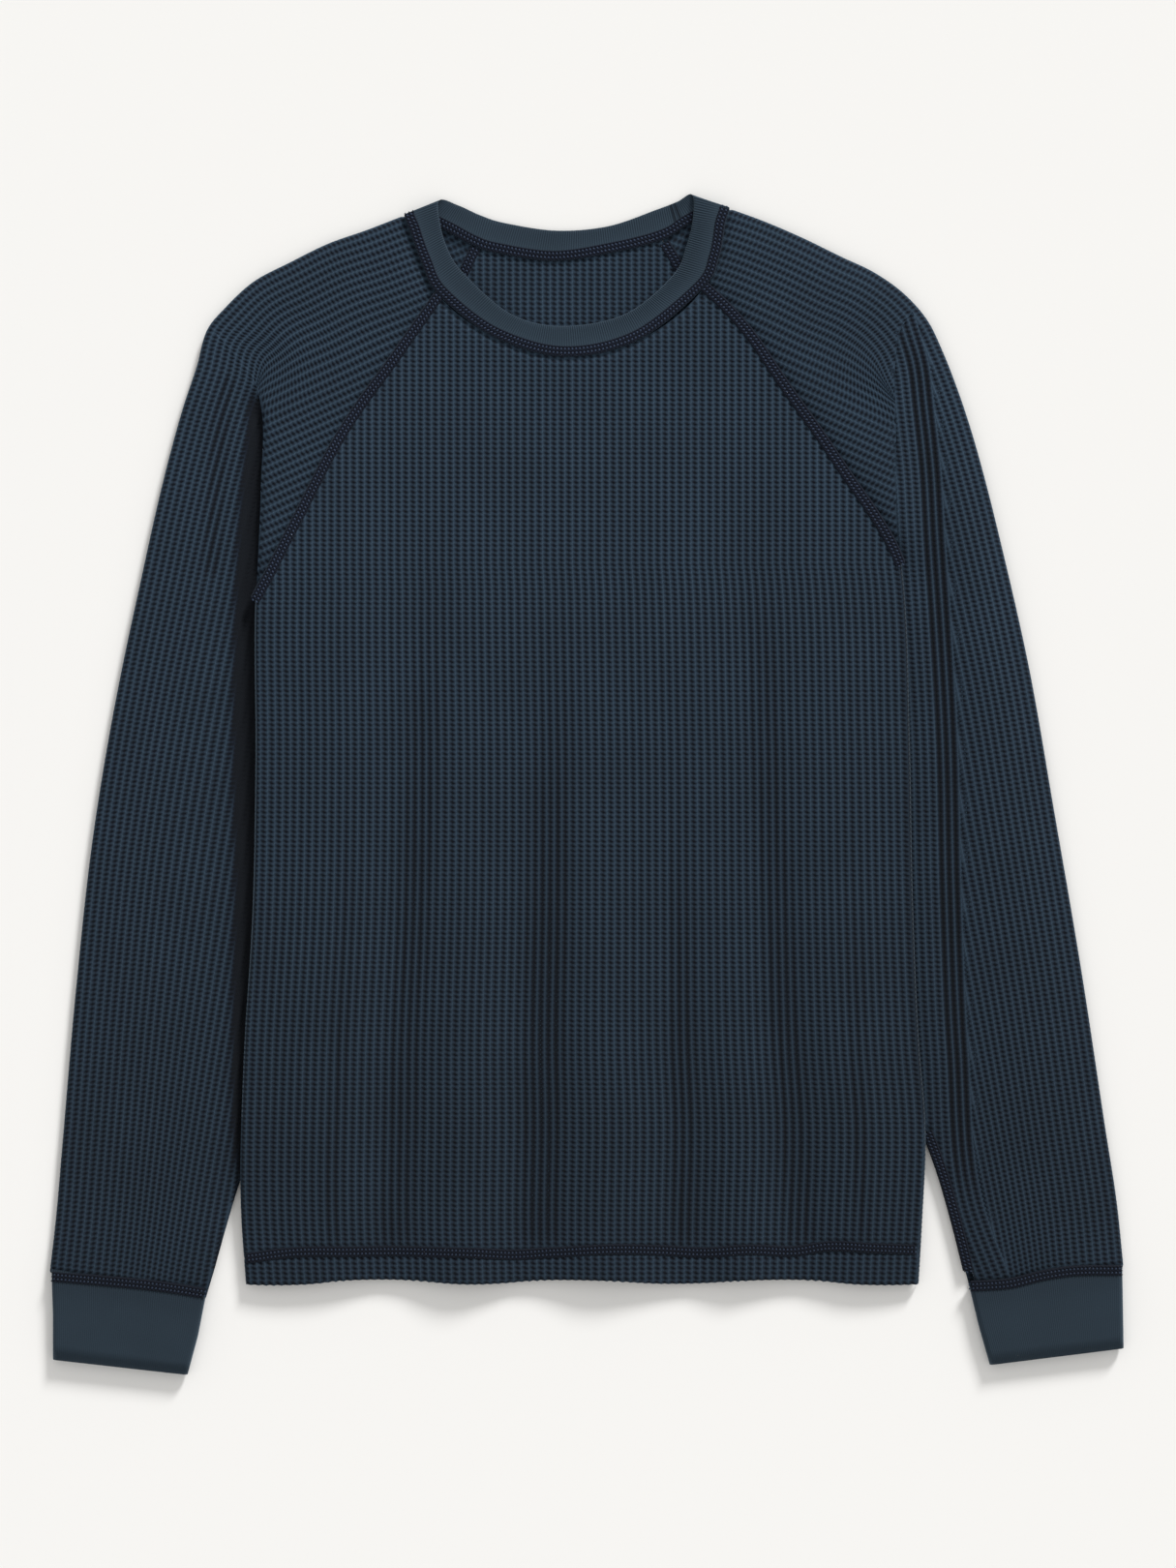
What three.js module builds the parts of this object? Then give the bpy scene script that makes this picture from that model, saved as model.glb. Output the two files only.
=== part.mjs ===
// Raglan long-sleeve thermal top, laid flat and face up. Millimetres, +Z up, collar towards +Y.
// Seven cut pieces: front, back, two sleeves, collar and two cuffs, each a thin wall of cloth.
import * as THREE from 'three';
import { mergeVertices } from 'three/addons/utils/BufferGeometryUtils.js';

// Cloth and seams
const WALL = 1.4;              // waffle knit
const RIB_WALL = 2.2;          // collar and cuffs, two layers of rib knit
const SEAM_GAP = 0.3;          // clear space between two sewn pieces
const HEM_DEPTH = 19;          // the turned-up hem
const HEM_EXTRA = 0.6;         // how much thicker the hem lies

// Body
const HEM_Y = -331;            // hem edge at the centre
const CHEST_HEIGHT = 5.6;      // top of the front over the flat back
const SIDE_HEIGHT = 8.7;       // top of the front where a sleeve lies under it
const SHELF = 4.0;             // underside of the body where it lies on a sleeve
const PRESSED = 3.3;           // a sleeve pressed flat under the body
const SIDE_REACH = 56;         // width of the raised side
const SIDE_SLOPE = 44;         // width over which it comes down to the chest

// Sleeve and cuff edges are folds of this radius
const SLEEVE_FOLD = 2.1;
const CUFF_FOLD = 2.6;

// Both side folds of the body: x at each y
const LEFT_SIDE = [
  { y: 123, x: -219 }, { y: 17, x: -219 }, { y: -86, x: -221 }, { y: -188, x: -227 },
  { y: -290, x: -228.5 }, { y: -333, x: -225.5 },
];
const RIGHT_SIDE = [
  { y: 143, x: 207.5 }, { y: 28, x: 213 }, { y: -75, x: 215 }, { y: -177, x: 219.5 },
  { y: -228, x: 223.5 }, { y: -290, x: 221.5 }, { y: -334, x: 219 },
];

// Soft ridges and troughs that run down the front: x where each starts, x at the hem,
// its height at the hem and the y below which it grows
const FRONT_WAVES = [
  { name: 'left ridge', topX: -178, hemX: -174, height: 7.4, from: 40 },
  { name: 'trough A', topX: -96, hemX: -129, height: 4.4, from: 130 },
  { name: 'ridge', topX: -72, hemX: -82, height: 10.2, from: 60 },
  { name: 'trough B', topX: -21, hemX: -40, height: 4.6, from: 95 },
  { name: 'middle ridge', topX: 8, hemX: 10, height: 10.2, from: 20 },
  { name: 'trough C', topX: 60, hemX: 71, height: 5.0, from: -40 },
  { name: 'ridge', topX: 84, hemX: 98, height: 8.8, from: -40 },
  { name: 'trough D', topX: 112, hemX: 147, height: 4.6, from: 100 },
  { name: 'right ridge', topX: 160, hemX: 176, height: 7.2, from: 60 },
];

// Sleeve sections from the neck (0) to the cuff seam (21). Down to 11 the inner end is the raglan
// seam, and from 12 on it is the underarm edge under the body. Heights are at the fold beside the
// body, in the valley next to it and on the crown of the sleeve.
const LEFT_SLEEVE = [
  {
    at: 0, outer: [-119, 374.5], valley: [-117, 365], fold: [-114, 351.5],
    inner: [-98, 320.5], heights: [5.6, 5.4, 5.2],
  },
  {
    at: 2, outer: [-171, 355], valley: [-168, 341], fold: [-162.5, 319.5],
    inner: [-131, 273.5], heights: [6.0, 6.0, 5.8],
  },
  {
    at: 4, outer: [-221, 329.5], valley: [-213, 308], fold: [-205.5, 287],
    inner: [-166, 222], heights: [6.4, 6.2, 6.0],
  },
  {
    at: 6, outer: [-252, 294], valley: [-226, 262], fold: [-215.5, 247.5],
    inner: [-190.5, 174], heights: [6.8, 6.0, 6.4],
  },
  {
    at: 8, outer: [-267, 247.5], valley: [-223, 206.5], fold: [-215.5, 199.5],
    inner: [-205, 145.5], heights: [7.8, 4.6, 7.0],
  },
  {
    at: 10, outer: [-285, 179], valley: [-226.5, 155], fold: [-217, 150],
    inner: [-214.5, 127.5], heights: [8.6, 3.8, 7.2],
  },
  {
    at: 11, outer: [-295, 133.5], valley: [-229, 125], fold: [-219, 123],
    inner: [-218, 120], heights: [3.3, 3.6, 7.2],
  },
  {
    at: 12, outer: [-301, 106.5], valley: [-229.5, 106.5], fold: [-219.5, 106.5],
    inner: [-168.5, 103.5], heights: [3.3, 3.6, 7.2],
  },
  {
    at: 14, outer: [-318.5, 17], valley: [-230, 17], fold: [-219, 17],
    inner: [-170, 17], heights: [3.3, 3.6, 7.2],
  },
  {
    at: 16, outer: [-333, -85.5], valley: [-230.5, -85.5], fold: [-221, -85.5],
    inner: [-182.5, -85.5], heights: [3.3, 3.6, 7.2],
  },
  {
    at: 18, outer: [-343, -188], valley: [-236, -188], fold: [-227, -188],
    inner: [-205.5, -188], heights: [3.2, 3.3, 7.0],
  },
  {
    at: 20, outer: [-351.5, -290], valley: [-258, -290], fold: [-246, -290],
    inner: [-237.5, -290], heights: [4.2, 5.0, 6.8],
  },
  {
    at: 21, outer: [-355, -321], valley: [-273, -335], fold: [-262, -337],
    inner: [-251, -339], heights: [4.6, 5.4, 6.6],
  },
];
const RIGHT_SLEEVE = [
  {
    at: 0, outer: [91.5, 379], valley: [90.5, 369], fold: [89, 355],
    inner: [77, 326], heights: [5.6, 5.4, 5.2],
  },
  {
    at: 2, outer: [142.5, 358.5], valley: [136.5, 346.5], fold: [127.5, 328.5],
    inner: [107.5, 294], heights: [6.0, 6.0, 5.8],
  },
  {
    at: 4, outer: [190, 335.5], valley: [181, 319], fold: [167, 294.5],
    inner: [135.5, 253], heights: [6.3, 6.2, 6.0],
  },
  {
    at: 6, outer: [224.5, 304.5], valley: [212, 288], fold: [193.5, 252.5],
    inner: [163, 213.5], heights: [6.7, 5.2, 6.0],
  },
  {
    at: 8, outer: [244, 260], valley: [222, 233], fold: [203, 206.5],
    inner: [184.5, 182], heights: [7.4, 4.4, 6.8],
  },
  {
    at: 10, outer: [263.5, 196], valley: [227.5, 174], fold: [207.5, 161],
    inner: [201, 154.5], heights: [8.2, 4.0, 7.4],
  },
  {
    at: 11, outer: [274.5, 151.5], valley: [229.5, 146], fold: [207.5, 143],
    inner: [206.5, 140.5], heights: [3.3, 3.8, 7.6],
  },
  {
    at: 12, outer: [282, 119.5], valley: [232, 119.5], fold: [208, 119.5],
    inner: [163, 119.5], heights: [3.3, 3.8, 7.6],
  },
  {
    at: 14, outer: [300, 28], valley: [237, 28], fold: [213, 28],
    inner: [167, 28], heights: [3.3, 3.8, 7.6],
  },
  {
    at: 16, outer: [318, -74.5], valley: [239.5, -74.5], fold: [215, -74.5],
    inner: [183, -74.5], heights: [3.3, 3.8, 7.6],
  },
  {
    at: 18, outer: [335.5, -177], valley: [244, -177], fold: [219.5, -177],
    inner: [207.5, -177], heights: [3.3, 3.8, 7.2],
  },
  {
    at: 20, outer: [349.5, -279.5], valley: [255, -279.5], fold: [245.5, -279.5],
    inner: [238, -279.5], heights: [4.0, 4.4, 6.8],
  },
  {
    at: 21, outer: [354, -318.5], valley: [272, -329], fold: [262, -331],
    inner: [251, -333], heights: [4.6, 5.4, 6.6],
  },
];
const SLEEVE_SECTIONS = 22;
const LAST_SEAM_SECTION = 11;
const FIRST_TUBE_SECTION = 12;
const LAST_BACK_SEAM = 10.7;   // the back's own side of that seam stops just above the armpit
const BACK_SEAM = {
  left: { neck: [-76, 354], armpit: [-167, 110.5] },
  right: { neck: [49.5, 357.5], armpit: [164, 129] },
};

// Collar rows round the neck: seam, free edge, and the way the outer face looks
// (90 up in front, 0 over the shoulder, -90 down at the back)
const COLLAR = [
  { seam: [-119, 374.5], edge: [-97.5, 383.5], turn: 0 },
  { seam: [-117, 363], edge: [-98, 371], turn: 90 },
  { seam: [-109, 341], edge: [-92.5, 351], turn: 90 },
  { seam: [-98, 320.5], edge: [-81, 334], turn: 90 },
  { seam: [-62, 293], edge: [-50.5, 308], turn: 90 },
  { seam: [-15.5, 280], edge: [-16, 300], turn: 90 },
  { seam: [34, 291], edge: [25, 308], turn: 90 },
  { seam: [77, 326], edge: [56, 333], turn: 90 },
  { seam: [86.5, 345], edge: [65, 352], turn: 90 },
  { seam: [90.5, 367], edge: [69.5, 371], turn: 90 },
  { seam: [91.5, 379], edge: [69, 387], turn: 0 },
  { seam: [67, 367.5], edge: [59, 382.5], turn: -90 },
  { seam: [49.5, 357.5], edge: [46, 377.5], turn: -90 },
  { seam: [16.5, 349], edge: [14, 366.5], turn: -90 },
  { seam: [-23, 343.5], edge: [-20.5, 363.5], turn: -90 },
  { seam: [-61, 349], edge: [-54.5, 368.5], turn: -90 },
  { seam: [-76, 354], edge: [-70.5, 373.5], turn: -90 },
  { seam: [-95, 364], edge: [-85, 380], turn: -90 },
];
const LEFT_RAGLAN = 3;         // the collar's rows at the raglan seams
const RIGHT_RAGLAN = 7;
const RIGHT_BACK_RAGLAN = 12;
const LEFT_BACK_RAGLAN = 16;

// Small helpers
const mix = (a, b, t) => a + (b - a) * t;
const mixPoint = (a, b, t) => a.map((value, i) => mix(value, b[i], t));
const clamp = (value, low, high) => Math.min(high, Math.max(low, value));
const smooth = (low, high, value) => {
  const t = clamp((value - low) / (high - low), 0, 1);
  return t * t * (3 - 2 * t);
};
const unit = (from, to) => {
  const length = Math.hypot(to[0] - from[0], to[1] - from[1]) || 1;
  return [(to[0] - from[0]) / length, (to[1] - from[1]) / length];
};
const shifted = (point, direction, distance) => [
  point[0] + direction[0] * distance,
  point[1] + direction[1] * distance,
];

// The x of a side fold at a height y, from its table
function sideX(table, y) {
  if (y >= table[0].y) return table[0].x;
  const next = table.findIndex((row) => row.y <= y);
  if (next < 0) return table[table.length - 1].x;
  const above = table[next - 1];
  const below = table[next];
  return mix(above.x, below.x, (above.y - y) / (above.y - below.y));
}

// A smooth curve through the rows of a table whose rows are at uneven steps
function alongRows(rows, at, read) {
  const next = clamp(rows.findIndex((row) => row.at > at), 1, rows.length - 1);
  const i = at >= rows[rows.length - 1].at ? rows.length - 1 : next;
  const a = rows[i - 1];
  const b = rows[i];
  const t = (at - a.at) / (b.at - a.at);
  const slope = (j) => {
    const low = rows[Math.max(0, j - 1)];
    const high = rows[Math.min(rows.length - 1, j + 1)];
    return (read(high) - read(low)) / (high.at - low.at);
  };
  const step = b.at - a.at;
  const t2 = t * t;
  const t3 = t2 * t;
  return (2 * t3 - 3 * t2 + 1) * read(a) + (t3 - 2 * t2 + t) * step * slope(i - 1)
    + (3 * t2 - 2 * t3) * read(b) + (t3 - t2) * step * slope(i);
}

// How much of the raised side is there at a height y: none at the neck, all from the armpit
// down to where the sleeve comes out, and a little at the hem
const sideRise = (y) => smooth(265, 140, y) * mix(0.25, 1, smooth(-330, -250, y));

// Height of the front's top surface over the floor
function frontHeight(x, y) {
  const left = x - sideX(LEFT_SIDE, y);
  const right = sideX(RIGHT_SIDE, y) - x;
  const inward = Math.max(0, Math.min(left, right));
  const side = sideRise(y) * (1 - smooth(SIDE_REACH, SIDE_REACH + SIDE_SLOPE, inward));
  const base = mix(CHEST_HEIGHT, SIDE_HEIGHT, side);
  return base + waveHeight(x, y);
}

// The part of the height that the ridges and troughs add, zero at both side folds
function waveHeight(x, y) {
  const rows = [
    { x: sideX(LEFT_SIDE, y), add: 0 },
    ...FRONT_WAVES.map((wave) => {
      const down = clamp((150 - y) / (150 - HEM_Y), 0, 1);
      const grown = smooth(wave.from, HEM_Y + 60, y);
      return {
        x: mix(wave.topX, wave.hemX, down),
        add: (wave.height - CHEST_HEIGHT) * grown,
      };
    }),
    { x: sideX(RIGHT_SIDE, y), add: 0 },
  ];
  const next = rows.findIndex((row) => row.x >= x);
  if (next <= 0) return 0;
  const t = (x - rows[next - 1].x) / (rows[next].x - rows[next - 1].x);
  return mix(rows[next - 1].add, rows[next].add, t * t * (3 - 2 * t));
}

// Underside of the body's sides: it lies on the sleeves, and comes down below their ends
const shelfHeight = (y) => SHELF * smooth(-325, -262, y);

// Height of the hem edge, which waves a little up and down the plan
const hemY = (x) => HEM_Y + 1.3 * Math.sin((x + 40) / 21) - 1.2 * smooth(150, 215, Math.abs(x));

// A closed wall from a grid of outer points and a grid of inner points. From row weldFrom on the
// first and last columns are one line, so the wall is a tube there. A ring also closes its rows.
function wall(outer, inner, { weldFrom = Infinity, ring = false } = {}) {
  const rows = outer.length;
  const columns = outer[0].length;
  const points = [...outer.flat(), ...inner.flat()].flat();
  const out = (i, j) => (i % rows) * columns + j;
  const back = (i, j) => rows * columns + (i % rows) * columns + j;
  const faces = [];
  const quad = (a, b, c, d) => faces.push(a, b, c, a, c, d);
  const lastRow = ring ? rows : rows - 1;
  for (let i = 0; i < lastRow; i += 1) {
    for (let j = 0; j < columns - 1; j += 1) {
      quad(out(i, j), out(i + 1, j), out(i + 1, j + 1), out(i, j + 1));
      quad(back(i, j), back(i, j + 1), back(i + 1, j + 1), back(i + 1, j));
    }
    if (i < weldFrom) {
      quad(out(i, 0), back(i, 0), back(i + 1, 0), out(i + 1, 0));
      const last = columns - 1;
      quad(out(i, last), out(i + 1, last), back(i + 1, last), back(i, last));
    }
  }
  if (!ring) {
    for (let j = 0; j < columns - 1; j += 1) {
      quad(out(0, j), out(0, j + 1), back(0, j + 1), back(0, j));
      const last = rows - 1;
      quad(out(last, j), back(last, j), back(last, j + 1), out(last, j + 1));
    }
  }
  return solid(points, faces);
}

// Merges equal points, drops flat faces and turns the faces outwards
function solid(points, faces) {
  const rough = new THREE.BufferGeometry();
  rough.setAttribute('position', new THREE.Float32BufferAttribute(points, 3));
  rough.setIndex(faces);
  const geometry = mergeVertices(rough, 1e-3);
  const index = Array.from(geometry.index.array);
  const position = geometry.attributes.position;
  const kept = [];
  let volume = 0;
  const corner = [new THREE.Vector3(), new THREE.Vector3(), new THREE.Vector3()];
  for (let i = 0; i < index.length; i += 3) {
    const [a, b, c] = index.slice(i, i + 3);
    if (a !== b && b !== c && c !== a) {
      kept.push(a, b, c);
      [a, b, c].forEach((vertex, k) => corner[k].fromBufferAttribute(position, vertex));
      volume += corner[0].dot(corner[1].cross(corner[2]));
    }
  }
  geometry.setIndex(volume > 0 ? kept : kept.reverse());
  geometry.computeVertexNormals();
  return geometry;
}

// Points on the round of a fold whose outer side faces along direction
function foldPoint(centre, direction, radius, thickness, degrees) {
  const angle = (degrees * Math.PI) / 180;
  const place = (r) => [
    ...shifted(centre, direction, r * Math.cos(angle)),
    radius + r * Math.sin(angle),
  ];
  return { outer: place(radius), inner: place(radius - thickness) };
}

const topPoint = (point, height, thickness = WALL) => ({
  outer: [...point, height],
  inner: [...point, height - thickness],
});
const floorPoint = (point, thickness = WALL) => ({
  outer: [...point, 0],
  inner: [...point, thickness],
});

// Sleeves
const seamRows = (rows) => rows.filter((row) => row.at < FIRST_TUBE_SECTION);
const tubeRows = (rows) => rows.filter((row) => row.at >= FIRST_TUBE_SECTION);
const planPoint = (rows, at, key) => (
  [0, 1].map((axis) => alongRows(rows, at, (row) => row[key][axis]))
);

// The collar's places that the first section's points follow, from the raglan seam to the valley
const NECK_PLACES = {
  left: [3, 8 / 3, 7 / 3, 2, 5 / 3, 1],
  right: [7, 22 / 3, 23 / 3, 8, 25 / 3, 9],
};

function sleeveSection(rows, backSeam, at, side) {
  const [foldZ, valleyZ, crownZ] = sleeveHeights(rows, at);
  const isTube = at >= FIRST_TUBE_SECTION;
  const outer = planPoint(rows, at, 'outer');
  const valley = planPoint(rows, at, 'valley');
  const fold = planPoint(rows, at, 'fold');
  const end = isTube ? planPoint(tubeRows(rows), at, 'inner') : raglanPoint(rows, at, side);
  const backEnd = isTube ? end : backRaglanPoint(backSeam, at, side);
  const outward = unit(valley, outer);
  const inward = unit(fold, end);
  const rollCentre = shifted(outer, outward, -SLEEVE_FOLD);
  const edgeRadius = foldZ / 2;
  const edgeCentre = shifted(end, inward, -edgeRadius);
  const points = [];
  // From the body to the valley
  if (isTube) {
    points.push(foldPoint(edgeCentre, inward, edgeRadius, WALL, 0));
    points.push(foldPoint(edgeCentre, inward, edgeRadius, WALL, 90));
    points.push(topPoint(mixPoint(edgeCentre, fold, 0.5), foldZ));
  } else {
    const endZ = at > 10 ? PRESSED : frontHeight(...end);
    points.push(topPoint(end, endZ));
    points.push(topPoint(mixPoint(end, fold, 0.33), mix(endZ, foldZ, 0.33)));
    points.push(topPoint(mixPoint(end, fold, 0.67), mix(endZ, foldZ, 0.67)));
  }
  points.push(topPoint(fold, foldZ));
  points.push(topPoint(mixPoint(fold, valley, 0.5), ridgeHeight(foldZ, valleyZ, at, side)));
  points.push(topPoint(valley, valleyZ));
  if (at === 0) followNeck(points, NECK_PLACES[side]);
  // Over the crown to the outer fold
  const rollTop = 2 * SLEEVE_FOLD;
  for (const t of [0.15, 0.35, 0.55, 0.75, 0.9]) {
    const bulge = (crownZ - mix(valleyZ, rollTop, 0.5)) * (4 * t * (1 - t)) ** 0.8;
    points.push(topPoint(mixPoint(valley, rollCentre, t), mix(valleyZ, rollTop, t) + bulge));
  }
  for (const degrees of [90, 45, 0, -45, -90]) {
    points.push(foldPoint(rollCentre, outward, SLEEVE_FOLD, WALL, degrees));
  }
  // Back along the floor
  const backStop = isTube ? edgeCentre : backEnd;
  for (const t of [0.2, 0.4, 0.6, 0.8]) {
    points.push(floorPoint(mixPoint(rollCentre, backStop, t)));
  }
  if (isTube) {
    points.push(foldPoint(edgeCentre, inward, edgeRadius, WALL, -90));
    points.push(foldPoint(edgeCentre, inward, edgeRadius, WALL, 0));
  } else {
    points.push(floorPoint(mixPoint(rollCentre, backStop, 0.95)));
    points.push(floorPoint(backEnd));
  }
  return points;
}

// Moves the points of the first section to the outside of the collar's seam
function followNeck(points, places) {
  points.forEach((point, i) => {
    const { seam, edge } = collarAt(places[i]);
    const beside = shifted(seam, unit(seam, edge), COLLAR_OFF_SEAM - 2 * SEAM_GAP);
    point.outer.splice(0, 2, ...beside);
    point.inner.splice(0, 2, ...beside);
  });
}

// Fold, valley and crown heights, straight between the rows
function sleeveHeights(rows, at) {
  const i = clamp(rows.findIndex((row) => row.at >= at), 1, rows.length - 1);
  const t = (at - rows[i - 1].at) / (rows[i].at - rows[i - 1].at);
  return mixPoint(rows[i - 1].heights, rows[i].heights, t);
}

// The right sleeve stands up a little between the body and its valley
function ridgeHeight(foldZ, valleyZ, at, side) {
  const rise = side === 'right' && at > 11 ? 1.9 * smooth(11, 13, at) : 0;
  return (foldZ + valleyZ) / 2 + rise;
}

// A point of the front raglan seam, moved off the seam to the sleeve's side or the front's
function raglanPoint(rows, at, side, distance = SEAM_GAP / 2) {
  const seam = (k) => planPoint(seamRows(rows), clamp(k, 0, LAST_SEAM_SECTION), 'inner');
  const along = unit(seam(at - 0.5), seam(at + 0.5));
  const away = side === 'left' ? [along[1], -along[0]] : [-along[1], along[0]];
  return shifted(seam(at), away, distance);
}

function backRaglanPoint(seam, at, side, distance = SEAM_GAP / 2) {
  const along = unit(seam.neck, seam.armpit);
  const away = side === 'left' ? [along[1], -along[0]] : [-along[1], along[0]];
  return shifted(mixPoint(seam.neck, seam.armpit, at / LAST_SEAM_SECTION), away, distance);
}

function sleeve(rows, backSeam, side) {
  const sections = [];
  for (let at = 0; at < SLEEVE_SECTIONS; at += 1) {
    sections.push(sleeveSection(rows, backSeam, at, side));
  }
  return wall(
    sections.map((section) => section.map((point) => point.outer)),
    sections.map((section) => section.map((point) => point.inner)),
    { weldFrom: FIRST_TUBE_SECTION },
  );
}

// Front
const FRONT_ROWS = 22;

// Row heights for one column: even steps down to the hem seam, then the hem
function columnHeights(topY, bottomY) {
  const hemTop = bottomY + HEM_DEPTH;
  const heights = [];
  for (let i = 0; i <= FRONT_ROWS; i += 1) heights.push(mix(topY, hemTop, i / FRONT_ROWS));
  heights.push(hemTop - 1, mix(hemTop, bottomY, 0.55), bottomY);
  return heights;
}
const hemExtra = (row) => (row > FRONT_ROWS ? HEM_EXTRA : 0);

function frontPanel() {
  const left = raglanTops(LEFT_SLEEVE, 'left').reverse();
  const neck = ringPoints(LEFT_RAGLAN, RIGHT_RAGLAN, -SEAM_GAP);
  const right = raglanTops(RIGHT_SLEEVE, 'right');
  const tops = [...left, ...neck, ...right];
  const firstX = left[0][0];
  const lastX = right[right.length - 1][0];
  const columns = [...sideRoll('left')];
  for (const top of tops) {
    const share = (top[0] - firstX) / (lastX - firstX);
    columns.push(frontColumn(top, (y) => mix(rollTopX('left', y), rollTopX('right', y), share)));
  }
  columns.push(...sideRoll('right').reverse());
  return wallFromColumns(columns);
}

// The front raglan seam's points from the neck to where it goes under the body
function raglanTops(rows, side) {
  const points = [];
  for (let at = 0; at <= 10; at += 1) {
    const distance = at === 0 ? -SEAM_GAP : -SEAM_GAP / 2;
    points.push(raglanPoint(rows, at, side, distance));
  }
  return points;
}

// A column of the front that starts at a point of its top edge and follows xAt down to the hem
function frontColumn(top, xAt) {
  const drift = top[0] - xAt(top[1]);
  const bottomY = hemY(xAt(HEM_Y));
  return columnHeights(top[1], bottomY).map((y, row) => {
    const settle = 1 - smooth(0, 70, top[1] - y);
    const x = xAt(y) + drift * settle;
    const height = frontHeight(x, y);
    return { outer: [x, y, height + hemExtra(row)], inner: [x, y, height - WALL] };
  });
}

const rollRadius = (side, y) => (sideTop(side, y) - shelfHeight(y)) / 2;
const sideTable = (side) => (side === 'left' ? LEFT_SIDE : RIGHT_SIDE);
const sideTop = (side, y) => frontHeight(sideX(sideTable(side), y), y);
const inwardSign = (side) => (side === 'left' ? 1 : -1);
const rollTopX = (side, y) => sideX(sideTable(side), y) + inwardSign(side) * rollRadius(side, y);

// The columns of the rolled side, from its lower lip round to just before the top
function sideRoll(side) {
  const startY = side === 'left' ? 117.5 : 136.5;
  const sign = inwardSign(side);
  const bottomY = hemY(sideX(sideTable(side), HEM_Y));
  const heights = columnHeights(startY, bottomY);
  const lip = heights.map((y) => {
    const x = rollTopX(side, y) + sign * 1.2;
    const z = shelfHeight(y);
    return { outer: [x, y, z], inner: [x, y, z + WALL] };
  });
  const round = [270, 225, 180, 135].map((degrees) => heights.map((y, row) => {
    const radius = rollRadius(side, y);
    const angle = (degrees * Math.PI) / 180;
    const place = (r) => [
      rollTopX(side, y) + sign * r * Math.cos(angle),
      y,
      shelfHeight(y) + radius + r * Math.sin(angle),
    ];
    const extra = degrees === 135 ? hemExtra(row) * 0.7 : 0;
    return { outer: place(radius + extra), inner: place(radius - WALL) };
  }));
  return [lip, ...round];
}

function wallFromColumns(columns) {
  const rows = columns[0].map((_, row) => columns.map((column) => column[row]));
  return wall(
    rows.map((row) => row.map((point) => point.outer)),
    rows.map((row) => row.map((point) => point.inner)),
  );
}

// Back
function backPanel() {
  const columns = [...shelfColumns('left', LEFT_SLEEVE)];
  const left = backTops(BACK_SEAM.left, 'left').reverse();
  const neck = ringPoints(LEFT_BACK_RAGLAN, RIGHT_BACK_RAGLAN, -SEAM_GAP);
  const right = backTops(BACK_SEAM.right, 'right');
  const tops = [...left, ...neck, ...right];
  const firstX = left[0][0];
  const lastX = right[right.length - 1][0];
  const footX = (side, rows) => (y) => stepX(side, rows, y) + inwardSign(side) * SHELF;
  const leftFoot = footX('left', LEFT_SLEEVE);
  const rightFoot = footX('right', RIGHT_SLEEVE);
  for (const top of tops) {
    const share = (top[0] - firstX) / (lastX - firstX);
    const xAt = (y) => mix(leftFoot(y), rightFoot(y), share);
    const drift = top[0] - xAt(top[1]);
    const bottomY = hemY(xAt(HEM_Y));
    const settle = mix(8, 90, smooth(0, 0.12, Math.min(share, 1 - share)));
    columns.push(columnHeights(top[1], bottomY).map((y, row) => {
      const x = xAt(y) + drift * (1 - smooth(0, settle, top[1] - y));
      return { outer: [x, y, 0], inner: [x, y, WALL + hemExtra(row)] };
    }));
  }
  columns.push(...shelfColumns('right', RIGHT_SLEEVE).reverse());
  return wallFromColumns(columns);
}

// Where the back steps up over the hidden edge of a sleeve
function stepX(side, rows, y) {
  const sign = inwardSign(side);
  const underarm = rows.filter((row) => row.at >= FIRST_TUBE_SECTION)
    .map((row) => ({ y: row.inner[1], x: row.inner[0] }));
  const clearOfSleeve = sideX(underarm, y) + sign * 0.9;
  const clearOfRoll = rollTopX(side, y) + sign * 6;
  return side === 'left' ? Math.max(clearOfSleeve, clearOfRoll) : Math.min(clearOfSleeve, clearOfRoll);
}

// The side of the back that lies on a sleeve, next to the front's rolled edge
function shelfColumns(side, rows) {
  const sign = inwardSign(side);
  const startY = (side === 'left' ? BACK_SEAM.left : BACK_SEAM.right).armpit[1] - 9;
  return [0, 0.5, 1].map((share) => {
    const bottomY = hemY(sideX(sideTable(side), HEM_Y));
    return columnHeights(startY, bottomY).map((y, row) => {
      const edge = rollTopX(side, y) + sign * (1.2 + SEAM_GAP);
      const x = mix(edge, stepX(side, rows, y), share);
      const z = shelfHeight(y);
      return { outer: [x, y, z], inner: [x, y, z + WALL + hemExtra(row)] };
    });
  });
}

function backTops(seam, side) {
  const points = [];
  for (const at of [0, 2, 4, 6, 8, 9.6, LAST_BACK_SEAM]) {
    points.push(backRaglanPoint(seam, at, side, -SEAM_GAP / 2));
  }
  return points;
}

// Collar
const COLLAR_OFF_SEAM = 0.9;   // the band's edge stands this far inside the seam line
const BAND_MIDDLE = 2.95;      // height of the band's middle at the shoulder folds
const BAND_REACH = 1.85;       // how far its middle goes up in front and down at the back
const FOLD_SHARE = 0.16;       // how soon the band has turned on each side of a shoulder fold
const FOLD_TURN = 60;
const RING_STEPS = 3;          // sections of the band for each row of the table

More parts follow.
